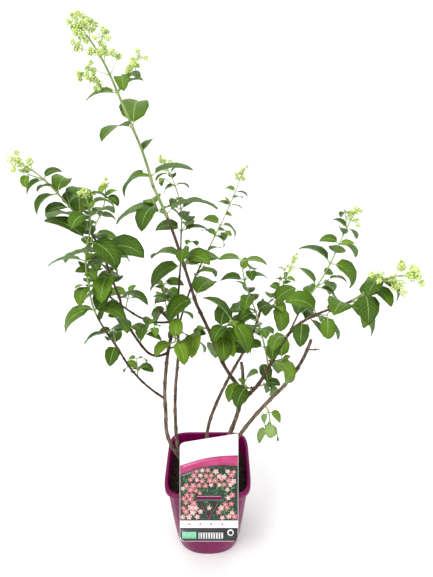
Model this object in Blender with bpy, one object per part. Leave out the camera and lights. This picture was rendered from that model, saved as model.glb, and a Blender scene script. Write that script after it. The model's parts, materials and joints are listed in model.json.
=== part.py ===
"""Potted panicle hydrangea: a deep rounded-square nursery pot, its hooked label and an open, many-stemmed shrub.

Metres, +Z up. The origin is the middle of the pot's underside. +X is the shrub's right as it is looked at
from the label, and the label faces -Y.

A limb's centre line is grown from its foot: its heading (degrees round from +X) and its rise (degrees above
level) pass evenly through the named values. A turn is an angle round a shoot: 0 is towards +X, 90 towards +Y.
"""

import math
import random
from collections import namedtuple

import bmesh
import bpy
import numpy as np
from mathutils import Matrix, Vector
from mathutils.bvhtree import BVHTree

GAP = 0.0003

# Pot
POT_HEIGHT = 0.240
RIM_SIDE = 0.206
RIM_TOP_BAND = 0.012
RIM_OVERHANG = 0.0055
RIM_SQUARENESS = 6.0
BASE_SIDE = 0.164
BASE_SQUARENESS = 2.5
BASE_ROUNDING = 0.008
POT_WALL = 0.0025
POT_FLOOR = 0.005
POT_SIDES = 32
NOTCH_WIDTH = 0.026
NOTCH_HEIGHT = 0.003
NOTCH_DEPTH = 0.016

# Soil
SOIL_LEVEL = 0.195
SOIL_SHOULDER = 0.006

# Label: a stiff tag that hooks over the rim's front and leans back against the stems
LABEL_WIDTH = 0.133
LABEL_ABOVE_RIM = 0.148
LABEL_BELOW_RIM = 0.100
LABEL_TOP_RISE = 0.022
LABEL_THICKNESS = 0.0012
LABEL_LEAN = 25.0
LABEL_SHIFT = 0.004
LABEL_CORNER = 0.010
HOOK_WIDTH = 0.058
HOOK_DROP = 0.022
SLOT_HEIGHT = 0.009
TONGUE_DEPTH = 0.040
TONGUE_CUT = 0.005

# Shrub
PATH_STEP = 0.020
STEM_SIDES = 7
BOUGH_SIDES = 6
TWIG_SIDES = 3
ROOT_FLARE = 1.35

Limb = namedtuple("Limb", "parent share length headings rises radii")

# A stem has its foot on the soil in place of a parent.
FEET = {
    "stem_left": (-0.046, -0.008),
    "stem_left_inner": (-0.040, 0.020),
    "stem_back": (0.0, 0.022),
    "stem_right": (0.020, 0.002),
    "stem_low_right": (0.024, -0.020),
}

STEMS = {
    "stem_left": Limb(
        None, 0, 0.495, (170, 200, 140, 20, 5, 215), (75, 65, 95, 85, 80, 35), (0.0048, 0.0034)
    ),
    "stem_left_inner": Limb(None, 0, 0.425, (200, 80, 45, 65), (50, 90, 80, 90), (0.0048, 0.0030)),
    "stem_back": Limb(None, 0, 0.475, (135, 20, 30, 30), (80, 70, 55, 80), (0.0045, 0.0030)),
    "stem_right": Limb(None, 0, 0.350, (-10, 0, 0, 0), (85, 70, 80, 100), (0.0066, 0.0034)),
    "stem_low_right": Limb(None, 0, 0.480, (-10, -10, -10, -20), (80, 65, 55, 80), (0.0050, 0.0032)),
}

BOUGHS = {
    "bough_tall": Limb("stem_right", 0.78, 0.235, (175, 165, 165), (50, 70, 65), (0.0042, 0.0034)),
    "bough_right": Limb(
        "stem_right", 0.70, 0.320, (-35, -55, -65, -70), (50, 65, 65, 50), (0.0044, 0.0028)
    ),
    "bough_left_low": Limb("stem_left", 0.53, 0.210, (-150, -130, -120), (50, 60, 70), (0.0026, 0.0020)),
    "bough_left": Limb(
        "stem_left", 0.78, 0.215, (-125, -140, -140, -125), (0, 60, 70, 85), (0.0028, 0.0023)
    ),
    "bough_left_back": Limb("stem_left", 0.92, 0.170, (165, 165, 160), (-20, 30, 35), (0.0024, 0.0020)),
    "bough_centre": Limb("stem_left_inner", 1.0, 0.135, (90, 80), (60, 60), (0.0026, 0.0020)),
    "bough_centre_right": Limb("stem_left_inner", 0.96, 0.120, (60, 72), (60, 30), (0.0023, 0.0019)),
}

DEAD_TWIGS = {
    "dead_twig_left": Limb("stem_left", 0.80, 0.050, (-10, 5), (15, 45), (0.0021, 0.0014)),
    "dead_twig_right": Limb("stem_right", 0.80, 0.045, (-30, -20), (10, 50), (0.0020, 0.0013)),
    "dead_twig_low": Limb("stem_low_right", 0.95, 0.024, (-20, 10), (0, 10), (0.0016, 0.0011)),
    "curled_twig": Limb(
        "stem_low_right", 0.75, 0.062, (-20, 60, 150, 200), (-5, 60, 50, -10), (0.0015, 0.0011)
    ),
}

SHOOTS = {
    "tall_shoot": Limb("bough_tall", 1.0, 0.260, (175, 175, 170), (75, 75, 65), (0.0033, 0.0029)),
    "tall_top": Limb("tall_shoot", 1.0, 0.290, (205, 195, 200, 190), (80, 70, 70, 50), (0.0028, 0.0016)),
    "left_low_shoot": Limb(
        "bough_left_low", 1.0, 0.330, (-150, -135, -95, 5, 10), (65, 70, 90, 70, 105), (0.0020, 0.0012)
    ),
    "left_leaves": Limb("bough_left", 1.0, 0.100, (190, 190), (75, 80), (0.0022, 0.0020)),
    "left_shoot": Limb("left_leaves", 1.0, 0.200, (200, 200, 205, 200), (65, 60, 55, 30), (0.0019, 0.0010)),
    "left_back_shoot": Limb(
        "bough_left_back", 1.0, 0.235, (165, 80, 45, 15), (50, 80, 50, 95), (0.0019, 0.0011)
    ),
    "centre_tuft": Limb("stem_left_inner", 0.93, 0.120, (150, 90), (50, 65), (0.0017, 0.0012)),
    "centre_shoot": Limb(
        "bough_centre", 1.0, 0.240, (90, 80, 140, 145), (70, 70, 65, 45), (0.0019, 0.0010)
    ),
    "centre_right_shoot": Limb(
        "bough_centre_right", 1.0, 0.285, (50, 46, 50), (50, 50, 60), (0.0018, 0.0009)
    ),
    "back_shoot": Limb("stem_back", 0.96, 0.155, (35, 45, 65), (0, 50, 40), (0.0017, 0.0010)),
    "inner_shoot": Limb(
        "bough_right", 0.47, 0.245, (90, 120, 160, 140), (25, 65, 65, 90), (0.0019, 0.0011)
    ),
    "right_shoot": Limb(
        "bough_right", 1.0, 0.255, (-40, -40, -60, -45), (50, 35, 55, 10), (0.0024, 0.0012)
    ),
    "right_upper_shoot": Limb(
        "bough_right", 0.90, 0.255, (40, 30, 35, 45), (65, 45, 65, 45), (0.0018, 0.0010)
    ),
    "tall_side_shoot": Limb("bough_tall", 0.68, 0.105, (-55, -55), (35, 50), (0.0018, 0.0012)),
    "low_right_tuft": Limb("stem_low_right", 0.58, 0.055, (-35, -120), (-40, -75), (0.0015, 0.0011)),
    "left_low_tuft": Limb("bough_left_low", 0.53, 0.018, (90, 90), (60, 60), (0.0013, 0.0011)),
    "left_tuft": Limb("bough_left", 0.45, 0.034, (40, 20), (55, 75), (0.0014, 0.0011)),
    "left_tuft_high": Limb("bough_left", 0.78, 0.016, (215, 215), (25, 25), (0.0013, 0.0011)),
    "left_back_tuft": Limb("bough_left_back", 0.62, 0.034, (80, 60), (45, 70), (0.0014, 0.0011)),
    "stem_tuft": Limb("stem_left", 0.83, 0.050, (-80, -50), (20, 50), (0.0016, 0.0012)),
    "stem_top_tuft": Limb("stem_left", 0.90, 0.060, (80, 110), (20, 60), (0.0016, 0.0012)),
    "inner_stem_tuft": Limb("stem_left_inner", 0.88, 0.055, (-30, -10), (30, 50), (0.0016, 0.0012)),
    "tall_low_tuft": Limb("bough_tall", 0.45, 0.022, (60, 60), (30, 50), (0.0016, 0.0013)),
    "right_low_tuft": Limb("bough_right", 0.17, 0.024, (170, 150), (20, 45), (0.0015, 0.0012)),
    "right_foot_tuft": Limb("bough_right", 0.24, 0.026, (10, 20), (-10, 30), (0.0015, 0.0012)),
    "right_tuft": Limb("bough_right", 0.50, 0.028, (20, 0), (15, 30), (0.0015, 0.0012)),
    "right_tuft_high": Limb("bough_right", 0.86, 0.026, (-150, -160), (0, 20), (0.0015, 0.0012)),
    "back_tuft": Limb("stem_back", 0.88, 0.048, (170, 190), (15, 45), (0.0016, 0.0012)),
    "back_tuft_right": Limb("stem_back", 0.95, 0.042, (-30, -50), (25, 40), (0.0016, 0.0012)),
}

# Leaf pairs on each shoot: shares along it, the blades' lengths and the turns of their first leaves.
Leafage = namedtuple("Leafage", "nodes blades turns")

LEAFAGE = {
    "tall_shoot": Leafage((0.05, 0.34, 0.41, 0.77), (0.062, 0.064, 0.058, 0.082), (215, 195, 150, 170)),
    "tall_top": Leafage((0.06, 0.37, 0.58), (0.062, 0.068, 0.048), (175, 240, 180)),
    "left_low_shoot": Leafage(
        (0.04, 0.15, 0.33, 0.48, 0.63, 0.74, 0.87, 0.97),
        (0.036, 0.036, 0.054, 0.040, 0.052, 0.060, 0.042, 0.030),
        (260, 0, 185, 80, 200, 170, 70, 180),
    ),
    "left_leaves": Leafage((0.06, 0.50, 0.90), (0.056, 0.052, 0.062), (180, 270, 350)),
    "left_shoot": Leafage((0.12, 0.30, 0.58, 0.73), (0.040, 0.060, 0.042, 0.028), (110, 195, 230, 20)),
    "left_back_shoot": Leafage(
        (0.06, 0.28, 0.53, 0.70, 0.88, 0.97), (0.046, 0.046, 0.044, 0.036, 0.034, 0.022), (190, 100, 170, 60, 350, 80)
    ),
    "centre_tuft": Leafage((0.50, 0.78, 0.97), (0.038, 0.040, 0.040), (200, 110, 180)),
    "centre_shoot": Leafage(
        (0.28, 0.48, 0.56, 0.70, 0.82), (0.054, 0.046, 0.038, 0.030, 0.034), (190, 170, 80, 180, 10)
    ),
    "centre_right_shoot": Leafage(
        (0.03, 0.12, 0.40, 0.50, 0.68, 0.80), (0.042, 0.050, 0.036, 0.042, 0.028, 0.028), (80, 350, 190, 185, 0, 180)
    ),
    "back_shoot": Leafage((0.20, 0.40, 0.62), (0.044, 0.034, 0.024), (0, 180, 350)),
    "inner_shoot": Leafage(
        (0.18, 0.34, 0.50, 0.66, 0.80, 0.97), (0.046, 0.048, 0.046, 0.044, 0.046, 0.040), (350, 100, 190, 80, 180, 150)
    ),
    "right_shoot": Leafage(
        (0.06, 0.20, 0.43, 0.62, 0.75), (0.046, 0.048, 0.062, 0.050, 0.040), (60, 150, 175, 80, 10)
    ),
    "right_upper_shoot": Leafage(
        (0.20, 0.38, 0.57, 0.72, 0.84), (0.042, 0.046, 0.054, 0.034, 0.024), (80, 190, 175, 180, 200)
    ),
    "tall_side_shoot": Leafage((0.45, 0.72, 0.97), (0.058, 0.050, 0.062), (90, 200, 120)),
    "low_right_tuft": Leafage((0.30, 0.65, 0.97), (0.034, 0.036, 0.036), (180, 270, 200)),
    "left_low_tuft": Leafage((0.60, 0.97), (0.030, 0.036), (90, 180)),
    "left_tuft": Leafage((0.60, 0.97), (0.034, 0.036), (160, 60)),
    "left_tuft_high": Leafage((0.97,), (0.044,), (90,)),
    "left_back_tuft": Leafage((0.60, 0.97), (0.036, 0.036), (150, 40)),
    "stem_tuft": Leafage((0.60, 0.97), (0.042, 0.044), (180, 120)),
    "stem_top_tuft": Leafage((0.50, 0.80, 0.97), (0.046, 0.046, 0.040), (170, 90, 0)),
    "inner_stem_tuft": Leafage((0.55, 0.97), (0.056, 0.056), (180, 60)),
    "tall_low_tuft": Leafage((0.70, 0.97), (0.064, 0.050), (0, 100)),
    "right_low_tuft": Leafage((0.60, 0.97), (0.050, 0.048), (250, 150)),
    "right_foot_tuft": Leafage((0.60, 0.97), (0.036, 0.036), (90, 0)),
    "right_tuft": Leafage((0.50, 0.97), (0.056, 0.050), (90, 0)),
    "right_tuft_high": Leafage((0.55, 0.97), (0.038, 0.036), (200, 90)),
    "back_tuft": Leafage((0.55, 0.97), (0.048, 0.046), (180, 80)),
    "back_tuft_right": Leafage((0.55, 0.97), (0.052, 0.056), (0, 90)),
}

# Flower sprays: the share of the shoot where each begins, how far its branches reach at first and, where it has
# them, the length of the pair of long branches below the rest.
Spray = namedtuple("Spray", "start reach wings")

SPRAYS = {
    "tall_top": Spray(0.66, 0.038, 0.062),
    "left_shoot": Spray(0.80, 0.015, 0),
    "left_low_shoot": Spray(0.97, 0.005, 0),
    "left_back_shoot": Spray(0.96, 0.006, 0),
    "centre_shoot": Spray(0.84, 0.012, 0),
    "centre_right_shoot": Spray(0.88, 0.012, 0),
    "back_shoot": Spray(0.76, 0.012, 0),
    "right_shoot": Spray(0.74, 0.022, 0),
    "right_upper_shoot": Spray(0.88, 0.012, 0),
}
SPRAY_STEP = 0.020
SPRAY_ANGLE = 52.0
BRANCH_RADII = (0.0009, 0.0006)
KNOB_RADIUS = 0.0056
KNOB_SPACING = 0.020
WING_DROP = 0.07
WING_TURNS = (-10, 170)

# Leaf: stations along its blade are shares of the whole leaf's length, as are their half widths and keel depths
LEAF_SCALE = 1.5
STALK_RADIUS = 0.0010
STALK_SHARE = 0.14
BLADE_STATIONS = ((0.36, 0.27, 0.020), (0.68, 0.19, 0.016))
LEAF_LIFT = 55.0
LEAF_ARCH = 88.0
LEAF_CLEARANCE = 0.0006
LEAF_TRIES = ((0, 0), (16, 0), (-16, 0), (32, -12), (-32, 12), (50, 0), (-50, 0), (75, 15), (-75, -15))

# Side twigs start in a leaf's axil, and each carries a pair of smaller leaves
TWIG_CHANCE = 0.16
TWIG_LENGTH = (0.020, 0.036)
TWIG_ANGLE = 32.0
TWIG_RADII = (0.0012, 0.0009)
TWIG_LEAF = 0.72
TWIG_NODE = 0.90
LAST_TWIG = 0.90

Leaf = namedtuple("Leaf", "root start roll length arch")


def paint(obj, colour, roughness):
    """Gives the object a plain material of its own."""
    material = bpy.data.materials.new(obj.name)
    material.use_nodes = True
    shader = material.node_tree.nodes["Principled BSDF"]
    shader.inputs["Base Color"].default_value = (*colour, 1)
    shader.inputs["Roughness"].default_value = roughness
    shader.inputs["Metallic"].default_value = 0
    obj.data.materials.append(material)


def add_object(name, mesh, helper=False):
    obj = bpy.data.objects.new(name, mesh)
    bpy.context.scene.collection.objects.link(obj)
    if helper:
        obj.hide_render = True
        obj.display_type = "WIRE"
    return obj


def loft(name, rings, tip=None):
    """A closed mesh through rings of points, with flat ends or drawn to a tip."""
    bm = bmesh.new()
    layers = [[bm.verts.new(point) for point in ring] for ring in rings]
    bm.faces.new(reversed(layers[0]))
    for low, high in zip(layers, layers[1:]):
        for i in range(len(low)):
            j = (i + 1) % len(low)
            bm.faces.new((low[i], low[j], high[j], high[i]))
    last = layers[-1]
    if tip is None:
        bm.faces.new(last)
    else:
        end = bm.verts.new(tip)
        for i in range(len(last)):
            bm.faces.new((last[i], last[(i + 1) % len(last)], end))
    bmesh.ops.triangulate(bm, faces=bm.faces[:])
    bmesh.ops.recalc_face_normals(bm, faces=bm.faces[:])
    mesh = bpy.data.meshes.new(name)
    bm.to_mesh(mesh)
    bm.free()
    return mesh


def box_mesh(name, low, high):
    bm = bmesh.new()
    size = Vector(high) - Vector(low)
    middle = (Vector(high) + Vector(low)) / 2
    place = Matrix.Translation(middle) @ Matrix.Diagonal((*size, 1))
    bmesh.ops.create_cube(bm, size=1, matrix=place)
    mesh = bpy.data.meshes.new(name)
    bm.to_mesh(mesh)
    bm.free()
    return mesh


def boolean(obj, operation, other=None, group=None):
    modifier = obj.modifiers.new(operation.title(), "BOOLEAN")
    modifier.operation = operation
    modifier.solver = "EXACT"
    if group is None:
        modifier.object = other
    else:
        modifier.operand_type = "COLLECTION"
        modifier.collection = group
    return modifier


def apply_modifiers(obj):
    """Replaces the object's mesh by the one its modifiers make."""
    graph = bpy.context.evaluated_depsgraph_get()
    mesh = bpy.data.meshes.new_from_object(obj.evaluated_get(graph))
    old = obj.data
    obj.modifiers.clear()
    obj.data = mesh
    bpy.data.meshes.remove(old)


# Pot, soil and label


def pot_half(z):
    """Half the pot's outer width at a height, and how square it is there."""
    share = z / POT_HEIGHT
    half = (BASE_SIDE + (RIM_SIDE - 2 * RIM_OVERHANG - BASE_SIDE) * share) / 2
    return half, BASE_SQUARENESS + (RIM_SQUARENESS - BASE_SQUARENESS) * share


def squared_ring(half, squareness, z):
    points = []
    for i in range(POT_SIDES):
        angle = 2 * math.pi * (i + 0.5) / POT_SIDES
        c, s = math.cos(angle), math.sin(angle)
        reach = half / (abs(c) ** squareness + abs(s) ** squareness) ** (1 / squareness)
        points.append((reach * c, reach * s, z))
    return points


def make_pot():
    base_half, base_square = pot_half(0)
    band = POT_HEIGHT - RIM_TOP_BAND
    rings = []
    for angle in (90, 60, 30, 0):
        inset = BASE_ROUNDING * (1 - math.cos(math.radians(angle)))
        z = BASE_ROUNDING * (1 - math.sin(math.radians(angle)))
        rings.append(squared_ring(base_half - inset, base_square, z))
    wall = [rings[-1]]
    for z in (0.06, 0.12, 0.18, band - 0.004):
        half, squareness = pot_half(z)
        wall.append(squared_ring(half, squareness, z))
    rim_half = RIM_SIDE / 2
    outer = rings[:-1] + wall
    outer.append(squared_ring(rim_half, RIM_SQUARENESS, band))
    outer.append(squared_ring(rim_half, RIM_SQUARENESS, POT_HEIGHT - 0.003))
    outer.append(squared_ring(rim_half - 0.003, RIM_SQUARENESS, POT_HEIGHT))
    inner = [squared_ring(rim_half - RIM_OVERHANG - POT_WALL, RIM_SQUARENESS, POT_HEIGHT)]
    for z in (0.18, 0.12, 0.06, POT_FLOOR + BASE_ROUNDING / 2):
        half, squareness = pot_half(z)
        inner.append(squared_ring(half - POT_WALL, squareness, z))
    inner.append(squared_ring(base_half - POT_WALL - BASE_ROUNDING / 2, base_square, POT_FLOOR))
    pot = add_object("pot", loft("pot", outer + inner))
    half = base_half + GAP
    for i, (x, y) in enumerate(((1, 0), (0, 1), (-1, 0), (0, -1))):
        out = Vector((x, y, 0)) * (half - NOTCH_DEPTH / 2)
        size = Vector((abs(x) * NOTCH_DEPTH + abs(y) * NOTCH_WIDTH, abs(y) * NOTCH_DEPTH + abs(x) * NOTCH_WIDTH, 0))
        low = out - size / 2 - Vector((0, 0, 0.001))
        high = out + size / 2 + Vector((0, 0, NOTCH_HEIGHT))
        cutter = add_object(f"notch_cutter_{i}", box_mesh("notch", low, high), helper=True)
        boolean(pot, "DIFFERENCE", cutter)
    paint(pot, (0.28, 0.005, 0.12), 0.35)


def make_soil():
    rings = [squared_ring(pot_half(0)[0] - POT_WALL - BASE_ROUNDING / 2 - 2 * GAP, BASE_SQUARENESS, POT_FLOOR + GAP)]
    for z in (POT_FLOOR + BASE_ROUNDING / 2 + GAP, 0.06, 0.12, 0.18, SOIL_LEVEL - SOIL_SHOULDER):
        half, squareness = pot_half(z)
        rings.append(squared_ring(half - POT_WALL - 2 * GAP, squareness, z))
    half, squareness = pot_half(SOIL_LEVEL)
    rings.append(squared_ring(half - POT_WALL - SOIL_SHOULDER, squareness, SOIL_LEVEL))
    soil = add_object("soil", loft("soil", rings))
    paint(soil, (0.03, 0.018, 0.012), 0.95)


def label_place():
    """Label coordinates (across, up its face, out of its face) to world, hung on the rim's front."""
    lean = math.radians(LABEL_LEAN)
    up = Vector((0, math.sin(lean), math.cos(lean)))
    out = Vector((0, -math.cos(lean), math.sin(lean)))
    across = Vector((1, 0, 0))
    rim_edge = Vector((LABEL_SHIFT, -RIM_SIDE / 2, POT_HEIGHT - 0.003))
    hang = rim_edge + out * (GAP + LABEL_THICKNESS / 2)
    return Matrix.Translation(hang) @ Matrix((across, up, out)).transposed().to_4x4()


def label_outline():
    """The tag's outline: level foot, rounded corners and a top edge that climbs to the right."""
    half = LABEL_WIDTH / 2
    corners = (
        (half, -LABEL_BELOW_RIM, LABEL_CORNER * 1.3),
        (half, LABEL_ABOVE_RIM, LABEL_CORNER * 0.5),
        (-half, LABEL_ABOVE_RIM - LABEL_TOP_RISE, LABEL_CORNER),
        (-half, -LABEL_BELOW_RIM, LABEL_CORNER),
    )
    points = []
    for i, (x, y, radius) in enumerate(corners):
        here = Vector((x, y))
        back = (Vector(corners[i - 1][:2]) - here).normalized()
        ahead = (Vector(corners[(i + 1) % 4][:2]) - here).normalized()
        start, end = here + back * radius, here + ahead * radius
        for step in range(5):
            t = step / 4
            points.append(start * (1 - t) ** 2 + here * 2 * t * (1 - t) + end * t**2)
    return points


def prism(name, outline, low, high):
    """A flat outline given a thickness, in label coordinates, and placed."""
    place = label_place()
    rings = [[place @ Vector((x, y, z)) for x, y in outline] for z in (low, high)]
    return loft(name, rings)


def make_label():
    half = LABEL_THICKNESS / 2
    label = add_object("label", prism("label", label_outline(), -half, half))
    place = label_place()
    hook_half = HOOK_WIDTH / 2
    # The hook leaves the top of the slot, passes back over the rim and drops inside it.
    hook_middle = POT_HEIGHT + GAP + LABEL_THICKNESS / 2
    slot_top = (hook_middle - place.translation.z) / math.cos(math.radians(LABEL_LEAN))
    slot = [(-hook_half, slot_top - SLOT_HEIGHT), (hook_half, slot_top - SLOT_HEIGHT), (hook_half, slot_top), (-hook_half, slot_top)]
    notch_top = slot_top - SLOT_HEIGHT - 0.004
    notch_tip = notch_top - TONGUE_DEPTH
    tongue_half = hook_half * 0.72
    notch = [
        (tongue_half, notch_top),
        (tongue_half * 0.72, notch_top),
        (TONGUE_CUT, notch_tip + TONGUE_CUT * 3),
        (-TONGUE_CUT, notch_tip + TONGUE_CUT * 3),
        (-tongue_half * 0.72, notch_top),
        (-tongue_half, notch_top),
        (0, notch_tip),
    ]
    for cut, outline in (("slot", slot), ("notch", notch)):
        cutter = add_object(f"label_{cut}_cutter", prism(cut, outline, -5 * half, 5 * half), helper=True)
        boolean(label, "DIFFERENCE", cutter)
    inside = 2 * GAP + POT_WALL - pot_half(POT_HEIGHT - HOOK_DROP)[0]
    front = place @ Vector((0, slot_top + LABEL_THICKNESS, 0))
    low, high = POT_HEIGHT + GAP, POT_HEIGHT + GAP + LABEL_THICKNESS
    hook = [
        (front.y, low),
        (inside, low),
        (inside, POT_HEIGHT - HOOK_DROP),
        (inside + LABEL_THICKNESS, POT_HEIGHT - HOOK_DROP),
        (inside + LABEL_THICKNESS, high),
        (front.y, high),
    ]
    edge = hook_half - LABEL_THICKNESS
    rings = [[(LABEL_SHIFT + x, y, z) for y, z in hook] for x in (-edge, edge)]
    piece = add_object("label_hook", loft("label_hook", rings))
    boolean(label, "UNION", piece).solver = "MANIFOLD"
    apply_modifiers(label)
    for name in ("label_hook", "label_slot_cutter", "label_notch_cutter"):
        bpy.data.objects.remove(bpy.data.objects[name])
    paint(label, (0.85, 0.82, 0.84), 0.35)


# Limbs


def aim(heading, rise):
    h, r = math.radians(heading), math.radians(rise)
    return Vector((math.cos(r) * math.cos(h), math.cos(r) * math.sin(h), math.sin(r)))


def centre_line(limb, start):
    """Evenly spaced points along a limb, and the direction at each."""
    count = max(2, round(limb.length / PATH_STEP))
    keys = np.linspace(0, 1, len(limb.headings))

    def direction(share):
        return aim(np.interp(share, keys, limb.headings), np.interp(share, keys, limb.rises))

    points = [start]
    fine = 4
    for i in range(count):
        step = Vector()
        for part in range(fine):
            step += direction((i + (part + 0.5) / fine) / count)
        points.append(points[-1] + step * (limb.length / count / fine))
    return points, [direction(i / count) for i in range(count + 1)]


def at_share(line, share):
    """The point and direction part of the way along a centre line."""
    points, directions = line
    place = min(share, 1) * (len(points) - 1)
    i = min(int(place), len(points) - 2)
    t = place - i
    return points[i].lerp(points[i + 1], t), directions[i].lerp(directions[i + 1], t).normalized()


def across(direction, turn):
    """A unit vector square to a direction, at a turn round it."""
    first = Vector((1, 0, 0))
    first = (first - direction * first.dot(direction)).normalized()
    second = direction.cross(first)
    angle = math.radians(turn)
    return first * math.cos(angle) + second * math.sin(angle)


def tube_rings(line, radii, sides, swell=0.0, flare=1.0, flat_foot=False):
    points, directions = line
    rings = []
    count = len(points) - 1
    for i, (point, direction) in enumerate(zip(points, directions)):
        radius = radii[0] + (radii[1] - radii[0]) * i / count + swell
        if i == 0:
            radius *= flare
        ring = [point + across(direction, 360 * k / sides) * radius for k in range(sides)]
        if i == 0 and flat_foot:
            ring = [Vector((p.x, p.y, point.z)) for p in ring]
        rings.append(ring)
    return rings


def tube(name, line, radii, sides, **shape):
    return loft(name, tube_rings(line, radii, sides, **shape))


def lay_out(limbs, lines):
    """Adds each limb's centre line, from its foot on the soil or from its parent's."""
    for name, limb in limbs.items():
        if limb.parent is None:
            start = Vector((*FEET[name], SOIL_LEVEL + GAP))
        else:
            start, direction = at_share(lines[limb.parent], limb.share)
        if follows_on(limb):
            # Its foot is square to the tip that it follows, a gap away from it.
            points, directions = centre_line(limb, start + direction * GAP)
            lines[name] = points, [direction] + directions[1:]
        else:
            lines[name] = centre_line(limb, start)


def follows_on(limb):
    return limb.share == 1


def cut_foot(obj, limb, all_limbs, lines):
    """Cuts a side limb's foot to its parent's surface, a gap clear of it."""
    parent = all_limbs[limb.parent]
    sides = sides_of(limb.parent)
    cutter_mesh = tube("foot_cutter", lines[limb.parent], parent.radii, sides, swell=GAP * 1.2)
    cutter = add_object(f"foot_cutter_{obj.name}", cutter_mesh, helper=True)
    boolean(obj, "DIFFERENCE", cutter)
    apply_modifiers(obj)
    bpy.data.objects.remove(cutter)


def sides_of(name):
    if name in STEMS:
        return STEM_SIDES
    if name in SHOOTS:
        return TWIG_SIDES
    return BOUGH_SIDES


# Leaves and sprays


def leaf_place(leaf, share):
    """The point at a share of a leaf's spine, and the directions across the blade and out of its upper face.

    The spine is an arc in an upright plane: it leaves the shoot rising, and bends down by the leaf's arch.
    """
    heading = math.atan2(leaf.start.y, leaf.start.x)
    rise = math.asin(max(-1, min(1, leaf.start.z)))
    arch = math.radians(leaf.arch)
    turned = rise - arch * share
    forward = Vector((math.cos(heading), math.sin(heading), 0))
    level = Vector((-math.sin(heading), math.cos(heading), 0))
    out = (math.sin(rise) - math.sin(turned)) * leaf.length / arch
    climb = (math.cos(turned) - math.cos(rise)) * leaf.length / arch
    point = leaf.root + forward * out + Vector((0, 0, climb))
    direction = forward * math.cos(turned) + Vector((0, 0, math.sin(turned)))
    side = level * math.cos(leaf.roll) + direction.cross(level) * math.sin(leaf.roll)
    return point, side, direction.cross(side)


def leaf_rings(leaf, swell=0.0):
    """Three-cornered rings along a leaf's stalk and blade, flat above and keeled below, and its tip."""
    stations = [(0, STALK_RADIUS, STALK_RADIUS), (STALK_SHARE, STALK_RADIUS, STALK_RADIUS)]
    for share, half_width, keel in BLADE_STATIONS:
        stations.append((share, half_width * leaf.length, keel * leaf.length))
    rings = []
    for share, half_width, keel in stations:
        point, side, up = leaf_place(leaf, share)
        wide = side * (half_width + 2 * swell)
        rings.append((point - wide + up * swell, point + wide + up * swell, point - up * (keel + 2 * swell)))
    return rings, leaf_place(leaf, 1)[0]


def shell_tree(rings, tip=None):
    """A tree of the faces of a closed shell through rings of points, for overlap tests."""
    sides = len(rings[0])
    points = [tuple(point) for ring in rings for point in ring]
    faces = [tuple(reversed(range(sides)))]
    for i in range(len(rings) - 1):
        for k in range(sides):
            a, b = i * sides + k, i * sides + (k + 1) % sides
            faces.append((a, b, b + sides, a + sides))
    last = (len(rings) - 1) * sides
    if tip is None:
        faces.append(tuple(range(last, last + sides)))
    else:
        faces += [(last + k, last + (k + 1) % sides, len(points)) for k in range(sides)]
        points.append(tuple(tip))
    return BVHTree.FromPolygons(points, faces)


class Space:
    """What is already there: every limb, and each leaf, twig and flower branch as it is placed."""

    def __init__(self):
        self.limbs = {}
        self.placed = []

    def add_limb(self, name, rings):
        self.limbs[name] = shell_tree(rings)

    def free(self, rings, tip, own, leaf=True):
        """True where a shape has room. A leaf may touch its own shoot only at its root, and a twig or flower
        branch is kept off other shoots' pieces alone, because it is fused to its own."""
        whole = shell_tree(rings, tip)
        outer = shell_tree(rings[1:], tip)
        for name, tree in self.limbs.items():
            if name != own and whole.overlap(tree):
                return False
            if name == own and leaf and outer.overlap(tree):
                return False
        reach = (rings[0][0] - tip).length
        for owner, other, place, length in self.placed:
            near = (place - rings[0][0]).length < reach + length
            if near and (leaf or owner != own) and outer.overlap(other):
                return False
        return True

    def place(self, rings, tip, own):
        self.placed.append((own, shell_tree(rings[1:], tip), rings[0][0], (rings[0][0] - tip).length))


def grow_leaf(own, root, direction, turn, length, draw, space):
    """One leaf, turned a little where something is in its way, or none where it has no room."""
    lift = LEAF_LIFT + draw.uniform(-12, 12)
    arch = LEAF_ARCH + draw.uniform(-30, 30)
    roll = math.radians(draw.uniform(-25, 25))
    length *= draw.uniform(0.88, 1.10)
    for turned, more in LEAF_TRIES:
        angle = math.radians(lift + more)
        start = direction * math.cos(angle) + across(direction, turn + turned) * math.sin(angle)
        leaf = Leaf(root, start.normalized(), roll, length, arch)
        rings, tip = leaf_rings(leaf, LEAF_CLEARANCE)
        if tip.z > SOIL_LEVEL and space.free(rings, tip, own):
            space.place(rings, tip, own)
            return [leaf]
    return []


def straight(root, end, way, clear):
    """A straight centre line with a middle point where it comes clear of what it grows from."""
    return [root, root.lerp(end, clear), end], [way, way, way]


def grow_twig(own, root, direction, turn, length, draw, space):
    """A side twig's centre line and the pair of leaves at its end, or nothing where it has no room."""
    angle = math.radians(TWIG_ANGLE + draw.uniform(-8, 8))
    way = direction * math.cos(angle) + across(direction, turn + draw.uniform(-20, 20)) * math.sin(angle)
    end = root + way * draw.uniform(*TWIG_LENGTH)
    line = straight(root, end, way, 0.4)
    rings = tube_rings(line, TWIG_RADII, TWIG_SIDES, swell=2 * LEAF_CLEARANCE)
    tip = end + way * LEAF_CLEARANCE
    if not space.free(rings, tip, own, leaf=False):
        return [], []
    space.place(rings, tip, own)
    leaves = []
    for opposite in (90, 270):
        side_turn = turn + opposite + draw.uniform(-20, 20)
        size = length * TWIG_LEAF * draw.uniform(0.85, 1.15)
        leaves += grow_leaf(own, root.lerp(end, TWIG_NODE), way, side_turn, size, draw, space)
    return [line], leaves


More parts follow.
